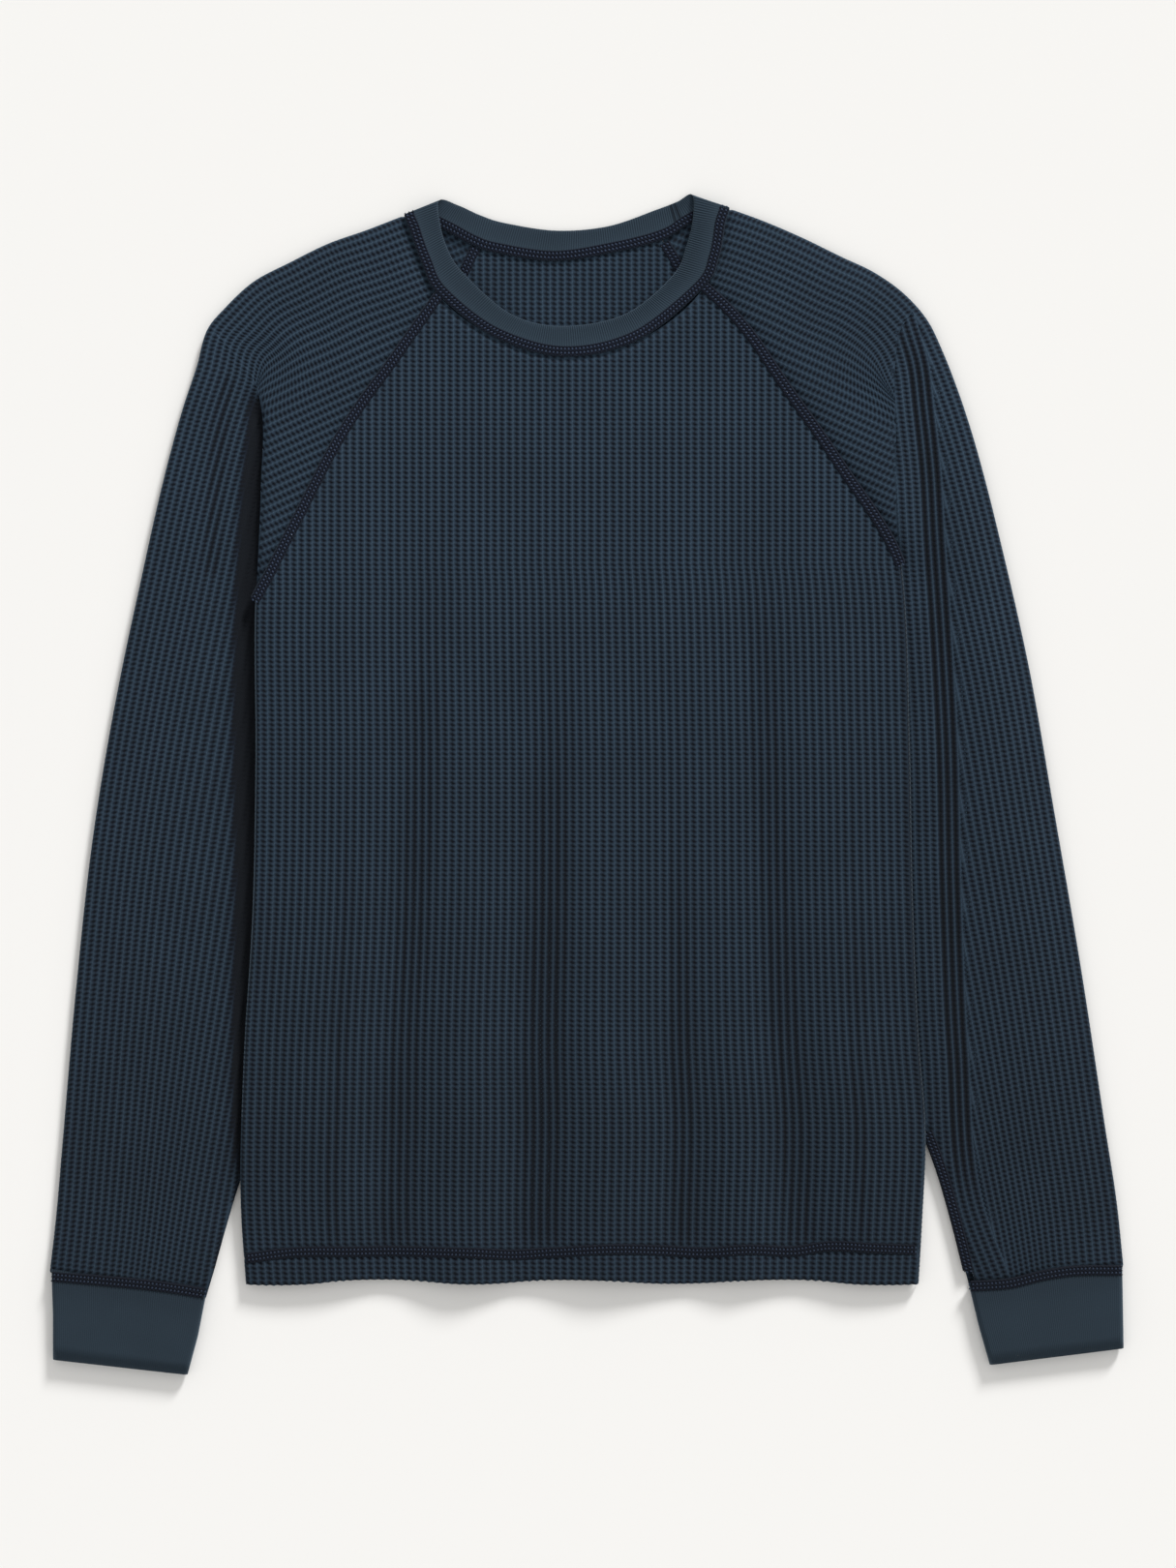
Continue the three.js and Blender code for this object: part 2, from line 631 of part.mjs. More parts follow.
// The table with a row added on each side of both shoulder folds
function collarRows() {
  const rows = [];
  COLLAR.forEach((row, i) => {
    const before = COLLAR[(i + COLLAR.length - 1) % COLLAR.length];
    const after = COLLAR[(i + 1) % COLLAR.length];
    const near = (other) => ({
      at: i + (other === after ? FOLD_SHARE : -FOLD_SHARE),
      seam: mixPoint(row.seam, other.seam, FOLD_SHARE),
      edge: mixPoint(row.edge, other.edge, FOLD_SHARE),
      turn: Math.sign(other.turn) * FOLD_TURN,
    });
    if (row.turn === 0) rows.push(near(before));
    rows.push({ ...row, at: i });
    if (row.turn === 0) rows.push(near(after));
  });
  return rows.sort((a, b) => a.at - b.at);
}

// The collar at a place on the ring, counted in the rows of its table
function collarAt(at) {
  const rows = collarRows();
  const count = COLLAR.length;
  const wrapped = [
    ...rows.slice(-3).map((row) => ({ ...row, at: row.at - count })),
    ...rows,
    ...rows.slice(0, 3).map((row) => ({ ...row, at: row.at + count })),
  ].sort((a, b) => a.at - b.at);
  const plan = (key) => [0, 1].map((axis) => alongRows(wrapped, at, (row) => row[key][axis]));
  const i = wrapped.findIndex((row) => row.at > at);
  const t = (at - wrapped[i - 1].at) / (wrapped[i].at - wrapped[i - 1].at);
  return {
    seam: plan('seam'),
    edge: plan('edge'),
    turn: mix(wrapped[i - 1].turn, wrapped[i].turn, t),
  };
}

// Points beside the collar's own sections between two of its rows; a negative distance is
// outside the ring
function ringPoints(from, to, distance) {
  const steps = (to - from) * RING_STEPS;
  const points = [];
  for (let i = 1; i < Math.abs(steps); i += 1) {
    const { seam, edge } = collarAt(mix(from, to, i / Math.abs(steps)));
    points.push(shifted(seam, unit(seam, edge), COLLAR_OFF_SEAM + distance));
  }
  return points;
}

function collarSection(at) {
  const { seam, edge, turn } = collarAt(at);
  const across = unit(seam, edge);
  const near = shifted(seam, across, COLLAR_OFF_SEAM);
  const angle = (turn * Math.PI) / 180;
  const sign = at > LEFT_RAGLAN && at < RIGHT_BACK_RAGLAN + 1 ? -1 : 1;
  const overShoulder = [-across[1] * sign, across[0] * sign];
  const normal = [
    overShoulder[0] * Math.cos(angle),
    overShoulder[1] * Math.cos(angle),
    Math.sin(angle),
  ];
  const lift = turn > 0 ? frontHeight(...seam) - CHEST_HEIGHT : 0;
  const middle = BAND_MIDDLE + BAND_REACH * Math.sin(angle) + lift;
  const place = (point, off) => [
    point[0] + normal[0] * (off + BAND_REACH * Math.cos(angle)),
    point[1] + normal[1] * (off + BAND_REACH * Math.cos(angle)),
    middle + normal[2] * off,
  ];
  const half = RIB_WALL / 2;
  const centre = mixPoint(near, edge, 0.5);
  const nearEdge = shifted(edge, across, -0.8);
  return [
    place(near, half), place(centre, half), place(nearEdge, half),
    place(edge, 0),
    place(nearEdge, -half), place(centre, -half), place(near, -half),
  ];
}

function collar() {
  const sections = [];
  for (const at of collarSteps()) sections.push(collarSection(at));
  return tubeRing(sections);
}

// Places round the collar: a few for each row of the table, and more at the shoulder folds
function collarSteps() {
  const steps = [];
  COLLAR.forEach((row, i) => {
    for (let k = 0; k < RING_STEPS; k += 1) steps.push(i + k / RING_STEPS);
    if (row.turn === 0) steps.push(i + FOLD_SHARE, (i || COLLAR.length) - FOLD_SHARE);
  });
  return steps.sort((a, b) => a - b);
}

// A closed ring of closed sections
function tubeRing(sections) {
  const size = sections[0].length;
  const faces = [];
  sections.forEach((_, i) => {
    const next = (i + 1) % sections.length;
    for (let j = 0; j < size; j += 1) {
      const k = (j + 1) % size;
      faces.push(i * size + j, next * size + j, next * size + k);
      faces.push(i * size + j, next * size + k, i * size + k);
    }
  });
  return solid(sections.flat().flat(), faces);
}

// Cuffs: outer and inner corner at the seam and at the mouth, and the height of each end
const CUFFS = {
  left: [
    { outer: [-354, -322], inner: [-252, -340], height: 6.8 },
    { outer: [-353, -352], inner: [-257, -366], height: 7.2 },
    { outer: [-353, -382], inner: [-264, -392], height: 6.6 },
  ],
  right: [
    { outer: [353, -319.5], inner: [252, -334], height: 6.8 },
    { outer: [353.5, -347], inner: [258, -359], height: 7.2 },
    { outer: [354, -374.5], inner: [265.5, -385.5], height: 6.6 },
  ],
};
const CUFF_STEPS = 6;

function cuff(rows) {
  const sections = [];
  for (let i = 0; i <= CUFF_STEPS; i += 1) {
    const t = (i / CUFF_STEPS) * 2;
    const a = rows[Math.min(1, Math.floor(t))];
    const b = rows[Math.min(2, Math.floor(t) + 1)];
    const local = t - Math.min(1, Math.floor(t));
    sections.push(cuffSection(
      mixPoint(a.outer, b.outer, local),
      mixPoint(a.inner, b.inner, local),
      mix(a.height, b.height, local),
    ));
  }
  return wall(
    sections.map((section) => section.map((point) => point.outer)),
    sections.map((section) => section.map((point) => point.inner)),
    { weldFrom: 0 },
  );
}

function cuffSection(outer, inner, height) {
  const outward = unit(inner, outer);
  const inward = [-outward[0], -outward[1]];
  const outerCentre = shifted(outer, outward, -CUFF_FOLD);
  const innerCentre = shifted(inner, inward, -CUFF_FOLD);
  const rib = RIB_WALL - 0.2;
  const points = [0, 45, 90].map((d) => foldPoint(innerCentre, inward, CUFF_FOLD, rib, d));
  // Over the top, round the outer fold and back along the floor
  for (const t of [0.15, 0.35, 0.5, 0.65, 0.85]) {
    const z = 2 * CUFF_FOLD + (height - 2 * CUFF_FOLD) * (4 * t * (1 - t)) ** 0.7;
    points.push(topPoint(mixPoint(innerCentre, outerCentre, t), z, rib));
  }
  for (const d of [90, 45, 0, -45, -90]) {
    points.push(foldPoint(outerCentre, outward, CUFF_FOLD, rib, d));
  }
  for (const t of [0.25, 0.5, 0.75]) {
    points.push(floorPoint(mixPoint(outerCentre, innerCentre, t), rib));
  }
  for (const d of [-90, -45, 0]) {
    points.push(foldPoint(innerCentre, inward, CUFF_FOLD, rib, d));
  }
  return points;
}

// The whole top, centred over its origin
const cloth = (color, roughness) => new THREE.MeshStandardMaterial({ color, roughness, metalness: 0 });
const waffleKnit = () => cloth(0x25303b, 0.95);
const ribKnit = () => cloth(0x2b3641, 0.9);

const top = new THREE.Group();
function addPiece(name, geometry, material) {
  const mesh = new THREE.Mesh(geometry, material);
  mesh.name = name;
  top.add(mesh);
}
addPiece('front', frontPanel(), waffleKnit());
addPiece('back', backPanel(), waffleKnit());
addPiece('sleeve_left', sleeve(LEFT_SLEEVE, BACK_SEAM.left, 'left'), waffleKnit());
addPiece('sleeve_right', sleeve(RIGHT_SLEEVE, BACK_SEAM.right, 'right'), waffleKnit());
addPiece('collar', collar(), ribKnit());
addPiece('cuff_left', cuff(CUFFS.left), ribKnit());
addPiece('cuff_right', cuff(CUFFS.right), ribKnit());

const box = new THREE.Box3().setFromObject(top);
const centre = box.getCenter(new THREE.Vector3());
top.position.set(-centre.x, -centre.y, -box.min.z);

export default top;
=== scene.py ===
"""A raglan thermal top laid flat, face up: waffle knit, rib knit and cover stitching."""

import math

import bpy
import numpy as np
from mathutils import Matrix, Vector
from mathutils.bvhtree import BVHTree


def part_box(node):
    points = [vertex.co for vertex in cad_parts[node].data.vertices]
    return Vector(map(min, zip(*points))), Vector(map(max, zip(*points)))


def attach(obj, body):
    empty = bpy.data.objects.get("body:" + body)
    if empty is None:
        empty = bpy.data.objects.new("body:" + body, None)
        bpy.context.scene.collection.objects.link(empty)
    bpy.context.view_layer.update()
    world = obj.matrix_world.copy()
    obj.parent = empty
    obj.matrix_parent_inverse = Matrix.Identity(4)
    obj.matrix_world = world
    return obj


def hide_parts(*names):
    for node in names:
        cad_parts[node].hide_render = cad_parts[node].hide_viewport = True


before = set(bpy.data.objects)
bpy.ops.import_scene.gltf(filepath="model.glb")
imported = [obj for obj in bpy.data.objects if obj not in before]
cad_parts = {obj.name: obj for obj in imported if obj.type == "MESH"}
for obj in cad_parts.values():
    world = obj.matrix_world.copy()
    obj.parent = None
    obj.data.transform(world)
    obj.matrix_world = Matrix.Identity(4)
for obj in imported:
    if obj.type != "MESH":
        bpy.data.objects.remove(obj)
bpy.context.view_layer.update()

MM = 0.001

# The plan's own origin, in the frame (mm)
PLAN_SHIFT = np.array([0.5, 1.24])

# Waffle knit: one cell is a wale and a pit across, and two courses along
WALE = 4.9
COURSE = 3.2
STEP_U = WALE / 2
STEP_V = COURSE / 2
RIDGE_DIP = 0.10       # between two bars on a raised wale
BAR_DIP = 0.42         # a cross bar under the wales
PIT_DIP = 1.25         # the bottom of a pit
GROOVE_DIP = 0.5       # how much deeper the pits are where the wales are pushed together
UNDER_SHARE = 0.6      # relief on an underside, as a share of the upper side's
WALL = 1.4
INNER_STEP = 8.0       # the plain inside of a wall is coarser
FLOOR_GAP = 0.02       # below the pieces that lie on the floor
LONGEST_FACE = 110.0   # longer ones come from a column that only just touches an outline
CLOTH_UNIT = 10.0      # mm of cloth for one unit of its texture coordinates

# Rib knit
COLLAR_RIB = 1.55
RIB_DIP = 0.45
CUFF_RIB = 1.25
RIB_WALL = 2.2

# Cover stitching
STITCH = 2.5           # along a needle line
NEEDLE_GAP = 2.7       # between two needle lines
NECK_BAND = 3.4        # the neck's middle needle line from the seam
NEEDLE_BEAD = (1.15, 0.5, 0.5)     # half the length and width of a stitch, and its height
LOOPER_BEAD = (0.9, 0.62, 0.65)
LOOPER_TWIST = 1.0                 # radians that the looper thread's stitches are turned
STITCH_BED = [(-3.7, -0.9), (-3.2, 0.0), (-1.6, 0.05), (0, 0.05), (1.6, 0.05), (3.2, 0.0),
              (3.7, -0.9)]         # the flat band under the stitches: place across and lift
DARK_THREAD, LIGHT_THREAD = 1.0, 0.0   # depths in the thread's colours
CUFF_LIFT, RAGLAN_LIFT, SEAM_LIFT = 0.2, 0.15, 0.1     # the stitches' band over the cloth

# Heights on the plan where the body's sides begin, and the hem's edge
LEFT_ARMPIT, RIGHT_ARMPIT = 123, 143
HEM_Y = -331

# Plan curves in mm, from the neck down
LEFT_OUTER = [
    (-119, 374.5), (-145.5, 364), (-171, 355), (-196.5, 342.5), (-221, 329.5), (-239.5, 312.5),
    (-250, 300.5), (-258.5, 273), (-267, 247.5), (-276, 215.5), (-285, 179), (-295, 133.5),
    (-309, 68), (-326.5, -34), (-338, -136.5), (-347, -239), (-351.5, -290), (-355, -321),
]
RIGHT_OUTER = [
    (91.5, 379), (117, 369.5), (142.5, 358.5), (167, 346.5), (190, 335.5), (210, 321),
    (224.5, 304.5), (235, 283), (244, 260), (254, 230), (263.5, 196), (274.5, 151.5),
    (290.5, 81), (309, -23.5), (326.5, -126), (342, -228), (350, -280), (354, -318.5),
]
LEFT_CORNER = (-250, 300.5)
RIGHT_CORNER = (217, 313)
LEFT_RAGLAN = [
    (-98, 320.5), (-113.5, 298.5), (-131, 273.5), (-150, 247.5), (-166, 222), (-180.5, 194),
    (-190.5, 174), (-198.5, 158.5), (-205, 145.5), (-210, 135.5), (-214.5, 127.5),
]
RIGHT_RAGLAN = [
    (77, 326), (92, 312), (107.5, 294), (121.5, 273.5), (135.5, 253), (150.5, 232),
    (163, 213.5), (174, 197), (184.5, 182), (193.5, 168), (201, 154.5),
]
LEFT_SIDE = [(-215.5, 247), (-215.5, 196), (-217, 157), (-219, 123), (-219, 17), (-221, -86),
             (-227, -188), (-228.5, -290), (-225.5, -333)]
RIGHT_SIDE = [(203.5, 230), (203.5, 196), (205, 160), (207.5, 143), (213, 28), (215, -75),
              (219.5, -177), (223.5, -228), (221.5, -290), (219, -334)]
LEFT_UNDERARM = [(-167, 110), (-168.5, 103.5), (-170, 17), (-182.5, -85.5), (-205.5, -188),
                 (-237.5, -290), (-251, -339)]
RIGHT_UNDERARM = [(164, 129), (163, 119.5), (167, 28), (183, -74.5), (207.5, -177),
                  (238, -279.5), (251, -333)]
LEFT_BEND = [(-250, 300.5), (-233, 281), (-219, 262), (-215.5, 247), (-215.5, 196), (-217, 157),
             (-219, 123)]
RIGHT_BEND = [(217, 313), (206, 296), (203.5, 280), (203.5, 230), (203.5, 196), (205, 160),
              (207.5, 143)]
RIGHT_VALLEY = [(210, 303), (217.5, 277.5), (221.5, 246.5), (226, 205), (228.5, 163.5),
                (232.5, 106.5), (237, 28), (239.5, -74.5), (244, -177), (254, -280), (272, -329)]
LEFT_VALLEY = [(-246, 290), (-236, 276), (-224, 258), (-221.5, 240), (-224.5, 207), (-227, 174),
               (-229.5, 124.5), (-231, 58.5), (-231, -2), (-230, -58.5), (-231.5, -150),
               (-231.5, -223), (-231.5, -267), (-231.5, -330)]
LEFT_CREASE = np.array([(-238, 262), (-243, 225), (-246.5, 178), (-248, 140)], float)
BACK_SEAM = {"left": [(-76, 354), (-167, 110.5)], "right": [(49.5, 357.5), (164, 129)]}

# Troughs down the front where the wales bunch. Columns: x at the armpits, x at the hem, the y where
# the trough starts, half its width, and how far it pushes the wales together
TROUGHS = [
    (-100, -129, 210, 15, 0.5),
    (-20, -33, 130, 18, 0.85),
    (60, 64, 60, 11, 0.6),
    (110, 142, 190, 14, 0.6),
    (-150, -170, 60, 7, 0.35),
    (170, 182, 40, 7, 0.4),
]
TROUGH_TOP = 150       # troughs run straight from this y to the hem
TROUGH_GROWTH = 260    # a trough is full this far below its start
ABOVE_HEM = (-314, -296)   # and ends over this stretch of y

# Collar rows: seam, free edge, and the way the outer face looks (90 up, 0 out, -90 down)
COLLAR = [
    ((-119, 374.5), (-97.5, 383.5), 0), ((-117, 363), (-98, 371), 90),
    ((-109, 341), (-92.5, 351), 90), ((-98, 320.5), (-81, 334), 90),
    ((-62, 293), (-50.5, 308), 90), ((-15.5, 280), (-16, 300), 90),
    ((34, 291), (25, 308), 90), ((77, 326), (56, 333), 90),
    ((86.5, 345), (65, 352), 90), ((90.5, 367), (69.5, 371), 90),
    ((91.5, 379), (69, 387), 0), ((67, 367.5), (59, 382.5), -90),
    ((49.5, 357.5), (46, 377.5), -90), ((16.5, 349), (14, 366.5), -90),
    ((-23, 343.5), (-20.5, 363.5), -90), ((-61, 349), (-54.5, 368.5), -90),
    ((-76, 354), (-70.5, 373.5), -90), ((-95, 364), (-85, 380), -90),
]
COLLAR_CREASES = [11.18, 11.42]   # where painted shade marks two wrinkles at the back of the collar, counted in rows
CREASE_WIDTH = 0.055   # half a crease's width, in rows
# mm of depth that the colour of a wrinkle shows: painted shade, the band's shape stays
CREASE_SHADE = 1.3
BAND_MIDDLE = 2.95     # height of the middle between the ring's upper and lower parts
BAND_REACH = 1.85      # from there to the middle of the band's wall

# Cuffs: outer and inner corner and height, at the seam, half way and at the mouth
CUFFS = {
    "left": [((-354, -322), (-252, -340), 6.8), ((-353, -352), (-257, -366), 7.2),
             ((-353, -382), (-264, -392), 6.6)],
    "right": [((353, -319.5), (252, -334), 6.8), ((353.5, -347), (258, -359), 7.2),
              ((354, -374.5), (265.5, -385.5), 6.6)],
}

# Where the hem's, the cuffs' and the underarm's stitches run
HEM_STITCH = [(-224.6, -315.0), (-192, -310.9), (-155, -310.7), (-111.5, -310.7), (-74, -311.4),
              (-49, -313.0), (-24, -311.4), (19, -309.0), (50, -310.1), (75, -311.4), (106, -309.4),
              (137, -310.6), (159, -307.2), (190, -308.4), (217.5, -309.6)]
CUFF_STITCH = {
    "left": [(-352.8, -327.2), (-320, -330), (-291, -332.7), (-270, -335.5), (-253.0, -338.3)],
    "right": [(352.0, -323.2), (316.5, -324.0), (299.8, -326.7), (279.8, -331.6), (253.0, -333.6)],
}
UNDERARM_STITCH = [(224.5, -232), (233, -255), (243.5, -291), (252, -325)]


# Curves

def smooth_step(low, high, value):
    t = np.clip((np.asarray(value, float) - low) / (high - low), 0, 1)
    return t * t * (3 - 2 * t)


def unit(vectors):
    return vectors / np.linalg.norm(vectors, axis=-1, keepdims=True)


def lengths(line):
    """How far each point of a line is from its start."""
    return np.concatenate([[0], np.cumsum(np.linalg.norm(np.diff(line, axis=0), axis=1))])


def between(p, i, t, span, leaving, arriving):
    """Smooth points at the shares t of the way, span long, from p[i] to the next point."""
    return ((2 * t**3 - 3 * t**2 + 1) * p[i] + (t**3 - 2 * t**2 + t) * span * leaving
            + (3 * t**2 - 2 * t**3) * p[i + 1] + (t**3 - t**2) * span * arriving)


def curve(points, step=1.0):
    """A smooth line through the points, with points about step apart."""
    p = np.array(points, float)
    knots = lengths(p)
    slopes = np.gradient(p, knots, axis=0)
    at = np.linspace(0, knots[-1], max(2, int(knots[-1] / step)) + 1)
    i = np.clip(np.searchsorted(knots, at, side="right") - 1, 0, len(p) - 2)
    span = (knots[i + 1] - knots[i])[:, None]
    t = ((at - knots[i])[:, None]) / span
    return between(p, i, t, span, slopes[i], slopes[i + 1])


def along(line, at):
    """Points of a line at given lengths from its start, straight on past its ends."""
    total = lengths(line)
    inside = np.clip(at, 0, total[-1])
    points = np.stack([np.interp(inside, total, line[:, k]) for k in range(2)], axis=-1)
    before = np.minimum(np.asarray(at) - inside, 0)[..., None]
    after = np.maximum(np.asarray(at) - inside, 0)[..., None]
    first = (line[1] - line[0]) / np.linalg.norm(line[1] - line[0])
    last = (line[-1] - line[-2]) / np.linalg.norm(line[-1] - line[-2])
    return points + before * first + after * last


def sampled(values, known, wanted):
    """Rows of values, known at some lengths, read at other lengths."""
    return np.stack([np.interp(wanted, known, column) for column in values.T], axis=-1)


def directions(points):
    return unit(np.gradient(points, axis=0))


def turned(direction, side):
    """The direction turned a quarter: side +1 is to its left, -1 to its right."""
    return np.stack([-direction[..., 1] * side, direction[..., 0] * side], axis=-1)


def x_at(line, y):
    """The x of a line that runs downwards, at the heights y."""
    order = np.argsort(line[:, 1])
    return np.interp(y, line[order, 1], line[order, 0])


def distance_to(line, points):
    """Distance of each point to a line of short straight pieces."""
    flat = points.reshape(-1, 2)
    best = np.full(len(flat), 1e9)
    for a, b in zip(line[:-1], line[1:]):
        ab = b - a
        t = np.clip(((flat - a) @ ab) / (ab @ ab), 0, 1)
        best = np.minimum(best, np.linalg.norm(flat - a - t[:, None] * ab, axis=1))
    return best.reshape(points.shape[:-1])


def inside(outline, points):
    """Which points lie inside a closed outline."""
    x, y = points[..., 0], points[..., 1]
    result = np.zeros(x.shape, bool)
    for (x1, y1), (x2, y2) in zip(outline, np.roll(outline, -1, axis=0)):
        if y1 == y2:
            continue
        crosses = (y1 > y) != (y2 > y)
        result ^= crosses & (x < (x2 - x1) * (y - y1) / (y2 - y1) + x1)
    return result


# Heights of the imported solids, read once on a grid and smoothed

MAP_STEP = 3.0
MAP_REACH = 400.0
MAP_SPREAD = 24        # cells that the heights reach past a node's edge
RAY_START = 0.05       # metres above the floor


class HeightMap:
    """Height of a node's top over the plan, in mm."""

    def __init__(self, node, blur=4):
        self.axis = np.arange(-MAP_REACH, MAP_REACH + 1, MAP_STEP)
        mesh_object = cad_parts[node]
        mesh = mesh_object.data
        matrix = mesh_object.matrix_world
        corners = [matrix @ v.co for v in mesh.vertices]
        tree = BVHTree.FromPolygons(corners, [p.vertices[:] for p in mesh.polygons])
        down = Vector((0, 0, -1))
        grid = np.full((len(self.axis), len(self.axis)), np.nan)
        low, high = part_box(node)
        for i, x in enumerate(self.axis):
            wx = (x + PLAN_SHIFT[0]) * MM
            if not low[0] <= wx <= high[0]:
                continue
            for j, y in enumerate(self.axis):
                wy = (y + PLAN_SHIFT[1]) * MM
                if not low[1] <= wy <= high[1]:
                    continue
                hit = tree.ray_cast(Vector((wx, wy, RAY_START)), down)[0]
                if hit is not None:
                    grid[i, j] = hit.z / MM
        self.grid = soften(spread(grid), blur)

    def __call__(self, points):
        f = (points + MAP_REACH) / MAP_STEP
        i = np.clip(f.astype(int), 0, len(self.axis) - 2)
        t = np.clip(f - i, 0, 1)
        g = self.grid
        a = g[i[..., 0], i[..., 1]] * (1 - t[..., 0]) + g[i[..., 0] + 1, i[..., 1]] * t[..., 0]
        b = g[i[..., 0], i[..., 1] + 1] * (1 - t[..., 0]) + g[i[..., 0] + 1, i[..., 1] + 1] * t[..., 0]
        return a * (1 - t[..., 1]) + b * t[..., 1]


def spread(grid):
    """Fills the empty cells near the known ones with the mean of their known neighbours."""
    grid = grid.copy()
    for _ in range(MAP_SPREAD):
        known = ~np.isnan(grid)
        total = np.zeros(grid.shape)
        count = np.zeros(grid.shape)
        for axis in (0, 1):
            for way in (-1, 1):
                total += np.roll(np.where(known, grid, 0), way, axis)
                count += np.roll(known, way, axis)
        fill = ~known & (count > 0)
        grid[fill] = total[fill] / count[fill]
    return np.where(np.isnan(grid), 0, grid)


def soften(grid, times):
    for _ in range(times):
        for axis in (0, 1):
            grid = (np.roll(grid, 1, axis) + 2 * grid + np.roll(grid, -1, axis)) / 4
    return grid


# Meshes

class Skin:
    """Collects points into one mesh, with fabric coordinates in mm and a depth for each point."""

    def __init__(self):
        self.points, self.cloth, self.depth, self.faces = [], [], [], []
        self.count = 0

    def add(self, points, cloth, depth, faces):
        self.points.append(points.reshape(-1, 3))
        self.cloth.append(cloth.reshape(-1, 2))
        self.depth.append(depth.ravel())
        self.faces.append(faces + self.count)
        self.count += len(self.points[-1])

    def rows(self, points, cloth, depth, closed=False):
        """Rows of points joined row to row. Each row is a ring if it is closed."""
        rows, columns = points.shape[:2]
        index = np.arange(rows * columns).reshape(rows, columns)
        if closed:
            index = np.hstack([index, index[:, :1]])
        self.add(points, cloth, depth, quads(index))

    def build(self, name, material):
        points = np.concatenate(self.points)
        cloth = np.concatenate(self.cloth)
        depth = np.concatenate(self.depth)
        faces = np.concatenate(self.faces)
        world = points.copy()
        world[:, :2] += PLAN_SHIFT
        world *= MM
        mesh = bpy.data.meshes.new(name)
        mesh.vertices.add(len(world))
        mesh.vertices.foreach_set("co", world.ravel())
        mesh.loops.add(len(faces) * 3)
        mesh.loops.foreach_set("vertex_index", faces.ravel().astype(np.int32))
        mesh.polygons.add(len(faces))
        mesh.polygons.foreach_set("loop_start", np.arange(0, len(faces) * 3, 3, dtype=np.int32))
        mesh.polygons.foreach_set("loop_total", np.full(len(faces), 3, dtype=np.int32))
        mesh.update()
        uv = mesh.uv_layers.new(name="cloth")
        uv.data.foreach_set("uv", (cloth[faces.ravel()] / CLOTH_UNIT).ravel())
        # the colour follows this depth: painted highlight and shade on the knits, and the dark and light
        # threads
        shade = mesh.attributes.new("depth", "FLOAT", "POINT")
        shade.data.foreach_set("value", depth)
        mesh.shade_smooth()
        mesh.materials.append(material)
        piece = bpy.data.objects.new(name, mesh)
        bpy.context.scene.collection.objects.link(piece)
        return piece


def quads(index):
    a, b = index[:-1, :-1].ravel(), index[1:, :-1].ravel()
    c, d = index[1:, 1:].ravel(), index[:-1, 1:].ravel()
    return np.concatenate([np.stack([a, b, c], 1), np.stack([a, c, d], 1)])


# Waffle sheets on the plan

def waffle(columns, rows):
    """For each point of a waffle grid: how far it lies below the raised wales, and 1 on a bar."""
    odd_column = (columns % 2)[:, None]
    odd_row = (rows % 2)[None, :]
    on_wale = RIDGE_DIP * odd_row
    between = BAR_DIP + (PIT_DIP - BAR_DIP) * odd_row
    bar = odd_column * (1 - odd_row)
    return np.where(odd_column == 1, between, on_wale), bar * np.ones_like(between)


def longest_runs(keep):
    """The first and last row of the longest unbroken run in each column."""
    first = np.zeros(len(keep), int)
    last = np.full(len(keep), -1)
    for i, column in enumerate(keep):
        edges = np.flatnonzero(np.diff(np.concatenate([[0], column.astype(int), [0]])))
        if len(edges):
            runs = edges.reshape(-1, 2)
            best = runs[np.argmax(runs[:, 1] - runs[:, 0])]
            first[i], last[i] = best[0], best[1] - 1
    return first, last


def cut_grid(path, outline, wide, long, step_u, step_v):
    """A grid whose columns follow path(u, v) and stop where they meet the outline."""
    columns = np.arange(math.floor(wide[0] / step_u), math.ceil(wide[1] / step_u) + 1)
    rows = np.arange(math.floor(long[0] / step_v), math.ceil(long[1] / step_v) + 1)
    u = (columns * step_u)[:, None] + np.zeros(len(rows))
    v = (rows * step_v)[None, :] + np.zeros((len(columns), 1))
    keep = inside(outline, path(u, v))
    first, last = longest_runs(keep)
    used = last >= first
    ends = []
    for row, way in ((first, -1), (last, 1)):
        good = v[0, np.clip(row, 0, len(rows) - 1)].copy()
        bad = good + way * step_v
        for _ in range(10):
            middle = (good + bad) / 2
            ok = inside(outline, path(u[:, :1], middle[:, None]))[:, 0]
            good = np.where(ok, middle, good)
            bad = np.where(ok, bad, middle)
        ends.append(good)
    v = np.clip(v, ends[0][:, None], ends[1][:, None])
    start = np.clip(first - 1, 0, None)
    stop = np.clip(last + 1, None, len(rows) - 1)
    number = np.arange(len(rows))[None, :]
    dip, bar = waffle(columns, rows)
    end = (number <= start[:, None]) | (number >= stop[:, None])
    ends_dip = np.where(columns % 2 == 1, BAR_DIP, RIDGE_DIP)[:, None]
    dip, bar = np.where(end, ends_dip, dip), np.where(end, 0, bar)
    row = np.clip(number, start[:, None], stop[:, None])
    index = np.arange(len(columns))[:, None] * len(rows) + row
    pair = used[:-1] & used[1:]
    a, b = index[:-1, :-1][pair].ravel(), index[1:, :-1][pair].ravel()
    c, d = index[1:, 1:][pair].ravel(), index[:-1, 1:][pair].ravel()
    faces = np.concatenate([np.stack([a, b, d], 1), np.stack([b, c, d], 1)])
    whole = (faces[:, 0] != faces[:, 1]) & (faces[:, 1] != faces[:, 2]) & (faces[:, 0] != faces[:, 2])
    whole &= np.ptp(v.ravel()[faces], axis=1) < LONGEST_FACE
    return u, v, dip, bar, faces[whole]


def facing(points, faces, upward):
    """The faces turned so that most of them look up, or down."""
    a, b, c = (points[faces[:, k], :2] for k in range(3))
    cross = (b[:, 0] - a[:, 0]) * (c[:, 1] - a[:, 1]) - (b[:, 1] - a[:, 1]) * (c[:, 0] - a[:, 0])
    return faces if (cross.sum() > 0) == upward else faces[:, ::-1]


